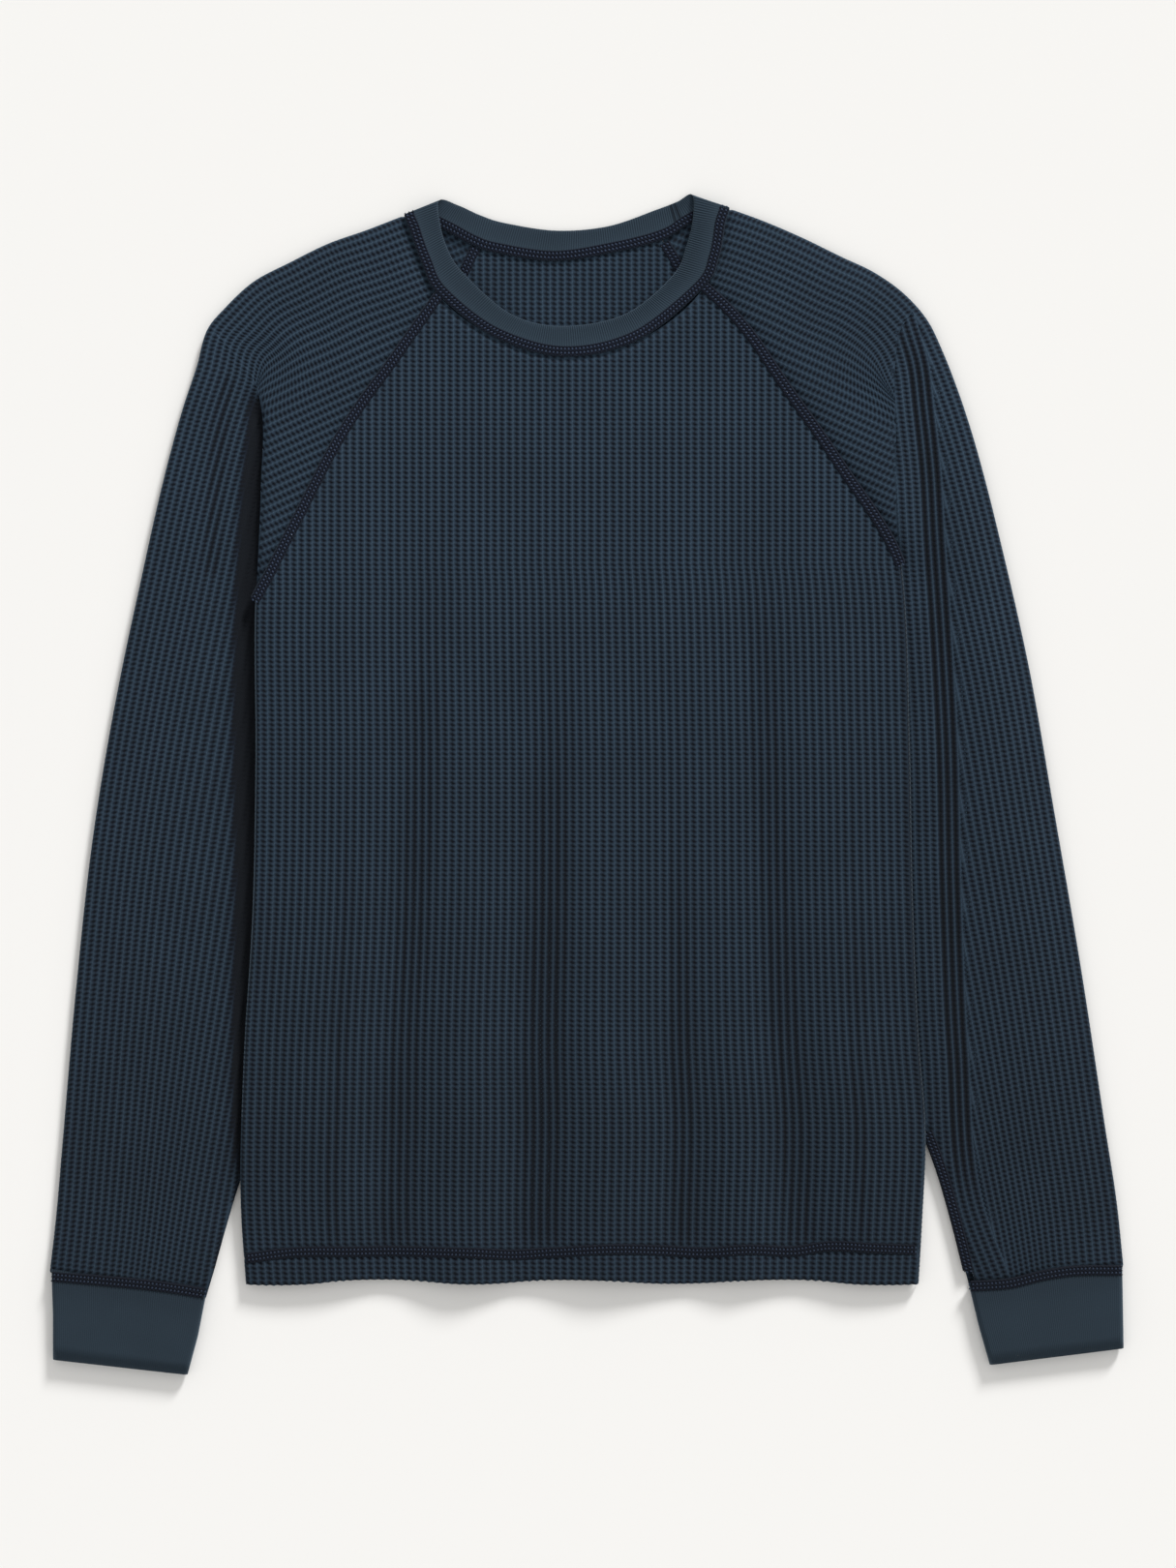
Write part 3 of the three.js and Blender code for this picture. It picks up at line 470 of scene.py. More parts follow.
def add_sheet(skin, zone, place, upward=True, steps=(STEP_U, STEP_V), bunched=None, deep=None):
    """A waffle sheet over a zone, put in place by place(plan, u, v, dip).

    bunched(plan) is 1 where the wales are pushed together, so that the pits join in a groove.
    deep(plan) is how many millimetres more of depth the colour shows, as painted shade down in a fold; the
    shape stays as it is."""
    u, v, dip, bar, faces = cut_grid(zone["path"], zone["outline"], zone["wide"], zone["long"],
                                     *steps)
    plan = zone["path"](u, v)
    if bunched is not None:
        push = bunched(plan)
        dip = dip + bar * push * (PIT_DIP - BAR_DIP) + (dip > BAR_DIP) * push * GROOVE_DIP
    points = place(plan, u, v, dip).reshape(-1, 3)
    cloth = np.stack([u, v], -1).reshape(-1, 2)
    # painted shade: depth for the colour only, added after the points are placed
    if deep is not None:
        dip = dip + deep(plan)
    used, back = np.unique(faces, return_inverse=True)
    faces = back.reshape(faces.shape)
    points = points[used]
    skin.add(points, cloth[used], dip.ravel()[used], facing(points, faces, upward))


DEEP_INSIDE = 99       # a distance inside an edge at which nothing rolls


def roll(inward, radius, share):
    """An edge that rolls under. inward is the distance inside it as if the cloth lay unrolled.

    Gives the distance inside it as rolled, how far the cloth has dropped, and its lean."""
    lean = np.clip((radius - inward) / radius, 0, math.pi * share)
    offset = np.where(inward > radius, inward, radius - radius * np.sin(lean))
    return offset, radius * (1 - np.cos(lean)), lean


def beyond(radius, share):
    """How far the unrolled cloth reaches past its rolled edge."""
    return (math.pi * share - 1) * radius


def shifted_out(line, side, distance):
    return line + turned(directions(line), side) * distance


# Lines

COLLAR_SEAM_FRONT = curve([row[0] for row in COLLAR[0:11]], 2)
LEFT_EDGE = curve(LEFT_OUTER, 2)
RIGHT_EDGE = curve(RIGHT_OUTER, 2)
LEFT_SIDE_LINE = curve(LEFT_SIDE, 4)
RIGHT_SIDE_LINE = curve(RIGHT_SIDE, 4)
LEFT_RAGLAN_LINE = curve(LEFT_RAGLAN, 4)
RIGHT_RAGLAN_LINE = curve(RIGHT_RAGLAN, 4)


HEM_WAVE, HEM_SIDE_DROP = 1.3, 1.2


def hem_y(x):
    """The hem edge waves a little up and down the plan, and hangs at the sides."""
    sides = smooth_step(150, 215, np.abs(x))
    return HEM_Y + HEM_WAVE * np.sin((x + 40) / 21) - HEM_SIDE_DROP * sides


# Front panel

# Radius of a rolled edge, and how much of a half turn it makes
SIDE_ROLL, SIDE_SHARE = 2.3, 0.88
HEM_ROLL, HEM_SHARE = 1.3, 1.0
BODY_LEFT, BODY_RIGHT = -219.0, 208.0
HEM_LEFT, HEM_RIGHT = -225.5, 219
FULL_HEIGHT = 5        # this far inside an edge the height is no longer that of its rounding
SEAM_DIP = 1.0
SEAM_FLAT, SEAM_REACH = 2.2, 4.6   # the waffle is flat this near to a seam, and whole from there
TROUGH_SHADE = 0.06    # mm of depth that the colour of a trough shows, as painted shade
EDGE_SHADE = 0.9       # and that of the body's right edge, painted shade over its rolled edge

front_top = HeightMap("front")


def body_x(u, y):
    """The x of a wale on the body: the wales spread as the sides do."""
    left = x_at(LEFT_SIDE_LINE, np.minimum(y, LEFT_ARMPIT))
    right = x_at(RIGHT_SIDE_LINE, np.minimum(y, RIGHT_ARMPIT))
    return left + (u - BODY_LEFT) / (BODY_RIGHT - BODY_LEFT) * (right - left)


def body_path(u, v):
    return np.stack([body_x(u, v), v + np.zeros_like(u)], axis=-1)


def body_outline(raglan_left, neck, raglan_right, side_out, hem_out):
    """Clockwise from the left armpit."""
    left = LEFT_SIDE_LINE[LEFT_SIDE_LINE[:, 1] < LEFT_ARMPIT]
    right = RIGHT_SIDE_LINE[RIGHT_SIDE_LINE[:, 1] < RIGHT_ARMPIT]
    hem_x = np.linspace(HEM_LEFT, HEM_RIGHT, 60)
    hem = np.stack([hem_x, hem_y(hem_x) - hem_out], axis=-1)
    hem[0, 0] -= side_out
    hem[-1, 0] += side_out
    return np.concatenate([
        raglan_left[::-1], neck, raglan_right, right + [side_out, 0], hem[::-1],
        (left - [side_out, 0])[::-1],
    ])


def seam_share(seams, plan):
    """1 on a seam, and 0 a few millimetres away."""
    near = np.full(plan.shape[:-1], 1e9)
    for line in seams:
        near = np.minimum(near, distance_to(line, plan))
    return 1 - smooth_step(SEAM_FLAT, SEAM_REACH, near)


FRONT_SEAMS = [LEFT_RAGLAN_LINE, RIGHT_RAGLAN_LINE, COLLAR_SEAM_FRONT, curve(HEM_STITCH, 4)]


def trough_share(plan, flat, steep):
    """How far into a trough each point lies, 0 to 1. flat and steep are shares of its half width."""
    x, y = plan[..., 0], plan[..., 1]
    most = np.zeros(x.shape)
    down = np.clip((TROUGH_TOP - y) / (TROUGH_TOP - HEM_Y), 0, 1)
    for top_x, hem_x, from_y, half, push in TROUGHS:
        middle = top_x + (hem_x - top_x) * down
        grown = smooth_step(from_y, from_y - TROUGH_GROWTH, y)
        near = 1 - smooth_step(half * flat, half * steep, np.abs(x - middle))
        most = np.maximum(most, near * grown * push)
    return most * smooth_step(*ABOVE_HEM, y)


def front_bunched(plan):
    """The wales are pushed together in the troughs, unevenly."""
    x, y = plan[..., 0], plan[..., 1]
    uneven = 0.72 + 0.28 * np.sin(0.83 * x + 0.017 * y) * np.cos(0.31 * x - 0.023 * y)
    return trough_share(plan, 0.35, 1.0) * uneven


def front_shade(plan):
    """Painted shade: the colour darkens in the troughs, and at the body's right edge against the sleeve,
    where less light reaches.
    """
    x, y = plan[..., 0], plan[..., 1]
    edge = smooth_step(4.0, 0.0, x_at(RIGHT_SIDE_LINE, y) - x) * smooth_step(-235, -215, y)
    return TROUGH_SHADE * trough_share(plan, 0.0, 1.5) + EDGE_SHADE * edge


def place_front(plan, u, v, dip):
    x, y = plan[..., 0], plan[..., 1]
    left, right = x_at(LEFT_SIDE_LINE, y), x_at(RIGHT_SIDE_LINE, y)
    from_left = np.where(y < LEFT_ARMPIT + 1, x - left, DEEP_INSIDE)
    from_right = np.where(y < RIGHT_ARMPIT + 1, right - x, DEEP_INSIDE)
    side = np.where(from_left < from_right, -1, 1)
    offset, drop, lean = roll(np.minimum(from_left, from_right), SIDE_ROLL, SIDE_SHARE)
    rolled = np.minimum(from_left, from_right) < SIDE_ROLL
    new_x = np.where(rolled, np.where(side < 0, left, right) - side * offset, x)
    up, hem_drop, hem_lean = roll(y - hem_y(x), HEM_ROLL, HEM_SHARE)
    new_y = hem_y(x) + up
    at = np.stack([np.clip(x, left + FULL_HEIGHT, right - FULL_HEIGHT),
                   np.maximum(y, hem_y(x) + FULL_HEIGHT)], axis=-1)
    seam = seam_share(FRONT_SEAMS, plan)
    dip = dip * (1 - seam) + SEAM_DIP * seam
    new_x = new_x - side * np.sin(lean) * dip
    new_y = new_y + np.sin(hem_lean) * dip
    z = front_top(at) - drop - hem_drop - dip * np.cos(lean) * np.cos(hem_lean)
    return np.stack([new_x, new_y, z], axis=-1)


def inner_front(plan, u, v, dip):
    z = front_top(plan) - WALL + 0 * dip
    return np.concatenate([plan, z[..., None]], axis=-1)


def make_front(material):
    """The outer face is turned up 8 mm under the hem, and the inner one stops short of the edges."""
    neck = COLLAR_SEAM_FRONT[COLLAR_SEAM_FRONT[:, 1] < LEFT_RAGLAN[0][1]]
    outline = body_outline(LEFT_RAGLAN_LINE, neck, RIGHT_RAGLAN_LINE,
                           beyond(SIDE_ROLL, SIDE_SHARE), beyond(HEM_ROLL, HEM_SHARE) + 8)
    inner = body_outline(LEFT_RAGLAN_LINE, neck, RIGHT_RAGLAN_LINE, -4, -2)
    zone = {"path": body_path, "outline": outline, "wide": (BODY_LEFT - 8, BODY_RIGHT + 8),
            "long": (-350, 330)}
    skin = Skin()
    add_sheet(skin, zone, place_front, bunched=front_bunched, deep=front_shade)
    add_sheet(skin, dict(zone, outline=inner), inner_front, upward=False,
              steps=(INNER_STEP, INNER_STEP))
    return skin.build("front_panel", material)


# Back panel

NECK_TUCK = 1.5        # how far the panel runs in under the neck band
NECK_VIEW = 262        # above this y the inside shows in the neck
EDGE_IN = 1.5          # how far its edges lie inside the front's

back_top = HeightMap("back")


def back_outline():
    left = curve([BACK_SEAM["left"][1], BACK_SEAM["left"][0]], 4)
    right = curve([BACK_SEAM["right"][0], BACK_SEAM["right"][1]], 4)
    neck = curve([COLLAR[i][0] for i in (16, 15, 14, 13, 12)], 4) + [0, NECK_TUCK]
    neck[0, 0] -= NECK_TUCK
    neck[-1, 0] += NECK_TUCK
    sides_left = np.concatenate([[(-169, 108), (-217, 92)],
                                 LEFT_SIDE_LINE[LEFT_SIDE_LINE[:, 1] < 85]])
    sides_right = np.concatenate([[(166, 126), (208, 108)],
                                  RIGHT_SIDE_LINE[RIGHT_SIDE_LINE[:, 1] < 100]])
    hem_x = np.linspace(HEM_RIGHT, HEM_LEFT, 60)
    hem = np.stack([hem_x, hem_y(hem_x) + EDGE_IN], axis=-1)
    return np.concatenate([left, neck, right, sides_right - [EDGE_IN, 0], hem,
                           (sides_left + [EDGE_IN, 0])[::-1]])


def place_back_outer(plan, u, v, dip):
    z = FLOOR_GAP + dip * UNDER_SHARE
    return np.concatenate([plan, z[..., None]], axis=-1)


def place_back_inner(plan, u, v, dip):
    z = back_top(plan) - dip
    return np.concatenate([plan, z[..., None]], axis=-1)


def make_back(material):
    outline = back_outline()
    zone = {"path": body_path, "outline": outline, "wide": (-230, 230), "long": (-350, 370)}
    skin = Skin()
    add_sheet(skin, zone, place_back_outer, upward=False)
    shown = np.concatenate([[(-120, NECK_VIEW)], outline[outline[:, 1] > NECK_VIEW],
                            [(115, NECK_VIEW)]])
    add_sheet(skin, dict(zone, outline=shown, long=(NECK_VIEW, 370)), place_back_inner)
    rest = np.minimum(outline, [np.inf, NECK_VIEW])
    add_sheet(skin, dict(zone, outline=rest), place_back_inner, steps=(INNER_STEP, INNER_STEP))
    return skin.build("back_panel", material)


# Sleeves

SLEEVE_ROLL, SLEEVE_SHARE = 2.1, 0.92
JOIN_OFF = 7.0         # past its valley the right sleeve's wales change direction
EDGE_WALES = 36        # wales follow the outer edge this far in
YOKE_WALES, ARM_WALES = 90, 110    # and run straight from here on
GAP_START = 262        # the y below which the gap beside the left sleeve opens
GAP_FLOOR = 1.9        # height of the cloth down in it
GAP_SHADE = 1.7        # mm of depth that its colour shows, as painted shade
CROWN = 16             # the arm keeps its height from this far before the valley
YOKE_DROP = 2.2        # how far the yoke's edge turns down beside the gap
UNDER_YOKE, UNDER_ARM = 0.8, 0.7   # how far the right sleeve's strip passes under the two
CREASE_PUSH = 0.55


def beside_edge(line, side, part, near, straight, angle=None):
    """Wales that follow an outer edge near it and run straight deeper in.

    part is the first and last point of the stretch they run straight beside. An angle in degrees
    turns them away from it. near and straight are the distances inside where that change begins
    and ends."""
    total = lengths(line)
    first, last = part
    way = (line[last] - line[first]) / np.linalg.norm(line[last] - line[first])
    start = (line - way * total[:, None])[first:last + 1].mean(axis=0)
    if angle is not None:
        way = np.array([math.cos(math.radians(angle)), math.sin(math.radians(angle))])
        start = line[first]
    inward = turned(way, side)

    def path(u, v):
        edge = along(line, v)
        window = 6 + 0.7 * np.clip(u, 0, 60)
        tangent = unit(along(line, v + window) - along(line, v - window))
        beside = edge + turned(tangent, side) * u[..., None]
        deep = start + way * v[..., None] + inward * u[..., None]
        share = smooth_step(near, straight, u)[..., None]
        return beside * (1 - share) + deep * share

    return path


class Sleeve:
    """The lines and zones of one sleeve. side is 1 where the body lies to the left of travel."""

    def __init__(self, name, lines, side, yoke_angle, strip):
        self.name, self.side, self.strip = name, side, strip
        self.top = HeightMap(name, blur=18)
        edge = lines["edge"]
        corner = int(np.argmin(np.linalg.norm(edge - np.array(lines["corner"]), axis=1)))
        outside = shifted_out(edge, -side, beyond(SLEEVE_ROLL, SLEEVE_SHARE))
        self.shoulder, self.arm = edge[:corner + 1], edge[corner:]
        self.shoulder_out, self.arm_out = outside[:corner + 1], outside[corner:]
        self.raglan, self.bend = lines["raglan"], curve(lines["bend"], 4)
        self.underarm, self.valley = curve(lines["underarm"], 4), curve(lines["valley"], 4)
        self.cuff, self.neck = np.array(lines["cuff"], float), np.array(lines["neck"], float)
        self.back_seam = curve(BACK_SEAM["left" if side > 0 else "right"], 4)
        self.back_neck = np.array([COLLAR[17 if side > 0 else 11][0]], float)
        self.yoke_path = beside_edge(edge, side, (0, corner), EDGE_WALES, YOKE_WALES,
                                     yoke_angle)
        self.arm_path = beside_edge(edge, side, (corner, len(edge) - 1), EDGE_WALES, ARM_WALES)
        join = self.valley + [JOIN_OFF, 0]
        self.join = np.concatenate([[lines["corner"]], join])
        self.join_path = beside_edge(join, side, (0, len(join) - 1), 4, 400)
        self.seams = [self.raglan, self.neck, curve(CUFF_STITCH[name[7:]], 4)]
        if strip:
            self.seams.append(curve(UNDERARM_STITCH, 4))

    def sheet(self, skin, path, outline, height, upward=True, rolled=True, bunched=None,
              deep=None):
        """A sheet beside an outer edge, rolled down along it."""

        def place(plan, u, v, dip):
            depth = u if rolled else np.full_like(u, DEEP_INSIDE)
            offset, drop, lean = roll(depth, SLEEVE_ROLL, SLEEVE_SHARE)
            inward = turned(unit(path(u, v + 1) - path(u, v - 1)), self.side)
            seam = seam_share(self.seams, plan)
            dip = dip * (1 - seam) + SEAM_DIP * seam
            move = (offset - depth) + np.sin(lean) * dip
            flat = plan + inward * move[..., None]
            at = plan + inward * np.maximum(FULL_HEIGHT - depth, 0)[..., None]
            z = height(at)
            z = z - drop - dip * np.cos(lean) if upward else z + dip * UNDER_SHARE
            return np.concatenate([flat, z[..., None]], axis=-1)

        zone = {"path": path, "outline": outline, "wide": (-8, 180), "long": (-90, 900)}
        add_sheet(skin, zone, place, upward, bunched=bunched, deep=deep)

    def make(self, material):
        skin = Skin()
        yoke = np.concatenate([self.shoulder_out, self.bend, self.raglan[::-1], self.neck[::-1]])
        low_yoke = np.concatenate([self.shoulder, self.back_seam[::-1], self.back_neck])
        low_arm = np.concatenate([self.arm, self.cuff[1:], self.underarm[::-1]])
        self.sheet(skin, self.yoke_path, yoke, self.yoke_height)
        if self.strip:
            foot = self.join[-1] + [0, -6]
            arm = np.concatenate([self.arm_out, self.cuff[:1], [foot], self.join[:0:-1],
                                  self.bend[2:3], self.join[:1]])
            under = self.bend.copy()
            under[:, 0] -= 4.0 * smooth_step(306, 292, under[:, 1])
            past_join = self.join.copy()
            past_join[:, 0] += 1.5 + 4.5 * smooth_step(285, 250, past_join[:, 1])
            strip = np.concatenate([past_join, [foot], self.cuff[1:], self.underarm[::-1],
                                    under[::-1]])
            self.sheet(skin, self.arm_path, arm, self.top, bunched=self.bunched)
            self.sheet(skin, self.join_path, strip, self.strip_height, rolled=False,
                       bunched=self.bunched)
        else:
            under = self.bend.copy()
            under[:, 0] += 6.0 * smooth_step(GAP_START, 240, under[:, 1])
            arm = np.concatenate([self.arm_out, self.cuff, self.underarm[::-1], under[::-1]])
            # painted shade darkens the colour in the gap beside the body
            self.sheet(skin, self.arm_path, arm, self.arm_height, bunched=self.creased,
                       deep=self.gap_painted_shade)
        self.sheet(skin, self.yoke_path, low_yoke, self.low, upward=False)
        self.sheet(skin, self.arm_path, low_arm, self.low, upward=False)
        return skin.build(self.name + "_cloth", material)

    def low(self, at):
        return FLOOR_GAP + 0 * at[..., 0]

    def yoke_height(self, at):
        """The yoke's edge beside the gap turns down."""
        if self.strip:
            return self.top(at)
        near = 1 - smooth_step(0, 3, distance_to(self.bend, at))
        return self.top(at) - YOKE_DROP * near * smooth_step(GAP_START, 240, at[..., 1])

    def strip_height(self, at):
        """The strip beside the body passes under the yoke's edge and under the arm's."""
        past = at[..., 0] - x_at(self.bend, at[..., 1])
        beyond_join = at[..., 0] - x_at(self.join, at[..., 1])
        under_yoke = UNDER_YOKE * smooth_step(1.5, -1.0, past) * (at[..., 1] > RIGHT_ARMPIT)
        return self.top(at) - under_yoke - UNDER_ARM * smooth_step(0.3, 1.5, beyond_join)

    def gap_painted_shade(self, plan):
        """The gap between the sleeve and the body gets no light, so its colour is darkened as painted
        shade.
        """
        past = plan[..., 0] - x_at(self.valley, plan[..., 1])
        along_gap = smooth_step(GAP_START, 235, plan[..., 1]) * smooth_step(-275, -225, plan[..., 1])
        return GAP_SHADE * smooth_step(-9, 3, past)**2 * along_gap

    def arm_height(self, at):
        """The arm stands up beside the gap and drops into it."""
        past = at[..., 0] - x_at(self.valley, at[..., 1])
        open_gap = smooth_step(GAP_START, 235, at[..., 1]) * smooth_step(-265, -225, at[..., 1])
        x = np.where(past > -CROWN, at[..., 0] - (past + CROWN), at[..., 0])
        crown = self.top(np.stack([x, at[..., 1]], axis=-1))
        gap = GAP_FLOOR + (crown - GAP_FLOOR) * (1 - smooth_step(-3.5, 4.5, past))
        share = smooth_step(GAP_START, 240, at[..., 1]) * smooth_step(100, 115, at[..., 1])
        top = self.top(at)
        lower = top + (np.minimum(top, crown) - top) * share
        return lower * (1 - open_gap) + gap * open_gap

    def creased(self, plan):
        """A soft crease in the left sleeve below the shoulder."""
        return CREASE_PUSH * (1 - smooth_step(1, 8, distance_to(LEFT_CREASE, plan)))

    def bunched(self, plan):
        """The wales are pushed together along the valley, less so where it begins and ends."""
        near = 1 - smooth_step(5.5, 8, distance_to(self.valley - [1, 0], plan))
        start = 0.35 + 0.65 * smooth_step(300, 262, plan[..., 1])
        return near * start * smooth_step(-290, -230, plan[..., 1])


LEFT_LINES = {
    "edge": LEFT_EDGE, "corner": LEFT_CORNER, "raglan": LEFT_RAGLAN_LINE, "bend": LEFT_BEND,
    "underarm": LEFT_UNDERARM, "valley": LEFT_VALLEY, "cuff": [(-355, -325), (-251, -342)],
    "neck": [row[0] for row in COLLAR[0:4]],
}
RIGHT_LINES = {
    "edge": RIGHT_EDGE, "corner": RIGHT_CORNER, "raglan": RIGHT_RAGLAN_LINE, "bend": RIGHT_BEND,
    "underarm": RIGHT_UNDERARM, "valley": RIGHT_VALLEY, "cuff": [(354, -322.5), (251, -337)],
    "neck": [row[0] for row in COLLAR[10:6:-1]],
}


# Collar

RING_STEP = 0.002      # of a row


def closed_curve(points):
    """A smooth closed line, and where each of its points lies, counted in rows."""
    n = len(points)
    p = np.array([points[(i + n) % n] for i in range(-2, n + 3)], float)
    at = np.arange(0, n, RING_STEP)
    i = at.astype(int) + 2
    t = (at - np.floor(at))[:, None]
    return between(p, i, t, 1, (p[i + 1] - p[i - 1]) / 2, (p[i + 2] - p[i]) / 2), at


def rib_wave(count):
    """1 on each rib and 0 between two, with four samples to a rib."""
    return 0.5 + 0.5 * np.cos(np.arange(count) * math.pi / 2)


def collar_turn(at):
    """The way the band's outer face looks, in degrees, at a place counted in rows."""
    keys = [-0.16, 0, 0.16, 1, 9, 9.84, 10, 10.16, 11, 17, 17.84, 18]
    turns = [-60, 0, 60, 90, 90, 60, 0, -60, -90, -90, -60, 0]
    return np.interp(at, keys, turns)


class Collar:
    """The neck band: samples round the ring, four for each rib."""

    def __init__(self):
        seam, at = closed_curve([row[0] for row in COLLAR])
        edge, _ = closed_curve([row[1] for row in COLLAR])
        travelled = lengths((seam + edge) / 2)
        self.count = 4 * round(travelled[-1] / COLLAR_RIB)
        self.travel = np.arange(self.count) / self.count * travelled[-1]
        self.seam = sampled(seam, travelled, self.travel)
        self.edge = sampled(edge, travelled, self.travel)
        self.at = np.interp(self.travel, travelled, at)
        self.turn = np.radians(collar_turn(self.at))
        self.width = np.linalg.norm(self.edge - self.seam, axis=1)
        self.across = (self.edge - self.seam) / self.width[:, None]

    def point(self, distance, lift):
        """Points at a distance in from the seam, lifted off the band's middle towards its outside."""
        plan = self.seam + self.across * (distance - lift * np.cos(self.turn))[:, None]
        z = BAND_MIDDLE + (BAND_REACH + lift) * np.sin(self.turn)
        return np.concatenate([plan, z[:, None]], axis=1)

    def make(self, material):
        rib = rib_wave(self.count)
        shares = np.linspace(0, 0.96, 9)
        profile = [(t, 1.0) for t in shares] + [(0.99, 0.75), (1.0, 0.0), (0.99, -0.75)]
        profile += [(t, -1.0) for t in shares[::-1]]
        rows = []
        for t, side in profile:
            relief = RIB_DIP * rib * (0.35 + 0.65 * smooth_step(0.3, 0.9, t))
            rows.append(self.point(t * self.width, (RIB_WALL / 2 - relief) * side))
        points = np.stack(rows, axis=0)
        down = np.arange(len(rows))[:, None] * 2.5
        cloth = np.stack(np.broadcast_arrays(self.travel[None, :], down), -1)
        # painted shade of the wrinkles at the back of the collar
        crease = sum(CREASE_SHADE * np.exp(-((self.at - middle) / CREASE_WIDTH)**2)
                     for middle in COLLAR_CREASES)
        shares_in = np.array([t for t, _ in profile])[:, None]
        # the painted shade between the ribs is weaker near the seam
        fade = 0.55 + 0.45 * smooth_step(0.25, 0.6, shares_in)
        depth = rib[None, :] * fade + crease[None, :]
        skin = Skin()
        skin.rows(points, cloth, depth, closed=True)
        return skin.build("neck_band", material)


# Cuffs

CUFF_ROLL = 2.6
CUFF_ROWS = 7
CUFF_DIP = 0.22        # how far the cuff lies in between its ribs


def make_cuff(side, material):
    rows = CUFFS[side]
    share = np.linspace(0, 2, CUFF_ROWS)
    outer, inner = (sampled(np.array([row[end] for row in rows], float), [0, 1, 2], share)
                    for end in (0, 1))
    height = np.interp(share, [0, 1, 2], [row[2] for row in rows])
    width = np.linalg.norm(inner - outer, axis=1)
    count = 8 * round(width.mean() / CUFF_RIB)
    rib = rib_wave(count)

    def layer(inset, wall_in):
        result = []
        for k in range(CUFF_ROWS):
            r = height[k] / 2
            flat = width[k] - 2 * r
            s = np.arange(count) / count * (2 * flat + 2 * math.pi * r)
            out, up = slot_point(s, flat, r, r - wall_in - inset * rib)
            plan = outer[k] + unit(inner[k] - outer[k]) * (r + out)[:, None]
            result.append(np.concatenate([plan, (r + up)[:, None]], axis=1))
        return np.stack(result, axis=0)

    points = np.concatenate([layer(CUFF_DIP, 0), layer(0.0, RIB_WALL)[::-1]], axis=0)
    cloth = np.stack(np.broadcast_arrays(np.arange(count)[None, :] * CUFF_RIB / 4,
                                         np.arange(len(points))[:, None] * 10.0), -1)
    # the painted shade between the ribs is strongest at the seam and weak from near half way to the mouth
    fade = 0.25 + 0.5 * smooth_step(0.9, 0.1, np.concatenate([share, share[::-1]]))
    skin = Skin()
    skin.rows(points, cloth, fade[:, None] * rib[None, :], closed=True)
    return skin.build("cuff_%s_rib" % side, material)


def slot_point(s, flat, r, reach):
    """A point round a flat slot: along the top, round, back along the floor and round."""
    bend = math.pi * r
    top = s < flat
    turn_in = (s >= flat) & (s < flat + bend)
    low = (s >= flat + bend) & (s < 2 * flat + bend)
    angle_in = (s - flat) / r
    angle_out = (s - 2 * flat - bend) / r
    out = np.where(top, s, np.where(turn_in, flat + reach * np.sin(angle_in),
                   np.where(low, 2 * flat + bend - s, -reach * np.sin(angle_out))))
    up = np.where(top, reach, np.where(turn_in, reach * np.cos(angle_in),
                  np.where(low, -reach, -reach * np.cos(angle_out))))
    return out, up


# Cover stitching: three needle lines with two rows of looper thread between them

class Seam:
    """A line of stitches: points every stitch, the way across the band, and the way off the cloth."""

    def __init__(self, points, across, normal):
        total = lengths(points)
        at = np.arange(0, total[-1], STITCH)
        self.points = sampled(points, total, at)
        self.across = sampled(across, total, at)
        self.normal = sampled(normal, total, at)
        self.along = directions(self.points)

    def place(self, shift, offset, lift):
        return (self.points + self.along * shift + self.across * offset + self.normal * lift)


def flat_seam(line, height):
    """A seam on the plan, at height(plan)."""
    fine = curve(line, 1.0)
    way = turned(directions(fine), 1)
    zero = np.zeros((len(fine), 1))
    points = np.concatenate([fine, height(fine)[:, None]], axis=1)
    return Seam(points, np.concatenate([way, zero], axis=1), np.concatenate([zero, zero, zero + 1], 1))


def bead_template():
    """A small mound: a ring of six points and one on top."""
    angles = np.arange(6) * math.pi / 3
    ring = np.stack([np.cos(angles), np.sin(angles), np.zeros(6)], -1)
    shoulder = np.stack([0.62 * np.cos(angles), 0.62 * np.sin(angles), np.full(6, 0.78)], -1)
    points = np.concatenate([ring, shoulder, [[0, 0, 1]]])
    faces = []
    for k in range(6):
        n = (k + 1) % 6
        faces += [(k, n, 6 + n), (k, 6 + n, 6 + k), (6 + k, 6 + n, 12)]
    return points, np.array(faces)


BEAD_POINTS, BEAD_FACES = bead_template()


def beads(skin, seam, shift, offset, size, depth, twist=0.0):
    """One bead for each stitch, moved along and across the seam. depth chooses its colour."""
    cos, sin = math.cos(twist), math.sin(twist)
    long = BEAD_POINTS[:, 0] * size[0]
    wide = BEAD_POINTS[:, 1] * size[1]
    a, b, c = long * cos - wide * sin, long * sin + wide * cos, BEAD_POINTS[:, 2] * size[2]
    centre = seam.place(shift, offset, 0.0)[:, None, :]
    points = (centre + seam.along[:, None, :] * a[None, :, None]
              + seam.across[:, None, :] * b[None, :, None]
              + seam.normal[:, None, :] * c[None, :, None])
    number = len(centre)
    faces = BEAD_FACES[None] + (np.arange(number) * len(BEAD_POINTS))[:, None, None]
    depths = np.full(points.shape[:2], depth)
    skin.add(points, points[..., :2].copy(), depths, faces.reshape(-1, 3))


def sew(name, seams, material):
    """The thread of some seams as one piece."""
    skin = Skin()
    for seam in seams:
        bed = np.stack([seam.place(0, across, lift) for across, lift in STITCH_BED], axis=0)
        skin.rows(bed, bed[..., :2].copy(), np.full(bed.shape[:2], DARK_THREAD))
        for across in (-NEEDLE_GAP, 0.0, NEEDLE_GAP):
            beads(skin, seam, 0.0, across, NEEDLE_BEAD, DARK_THREAD)
        for across in (-NEEDLE_GAP / 2, NEEDLE_GAP / 2):
            beads(skin, seam, STITCH / 2, across, LOOPER_BEAD, LIGHT_THREAD, LOOPER_TWIST)
    return skin.build(name, material)


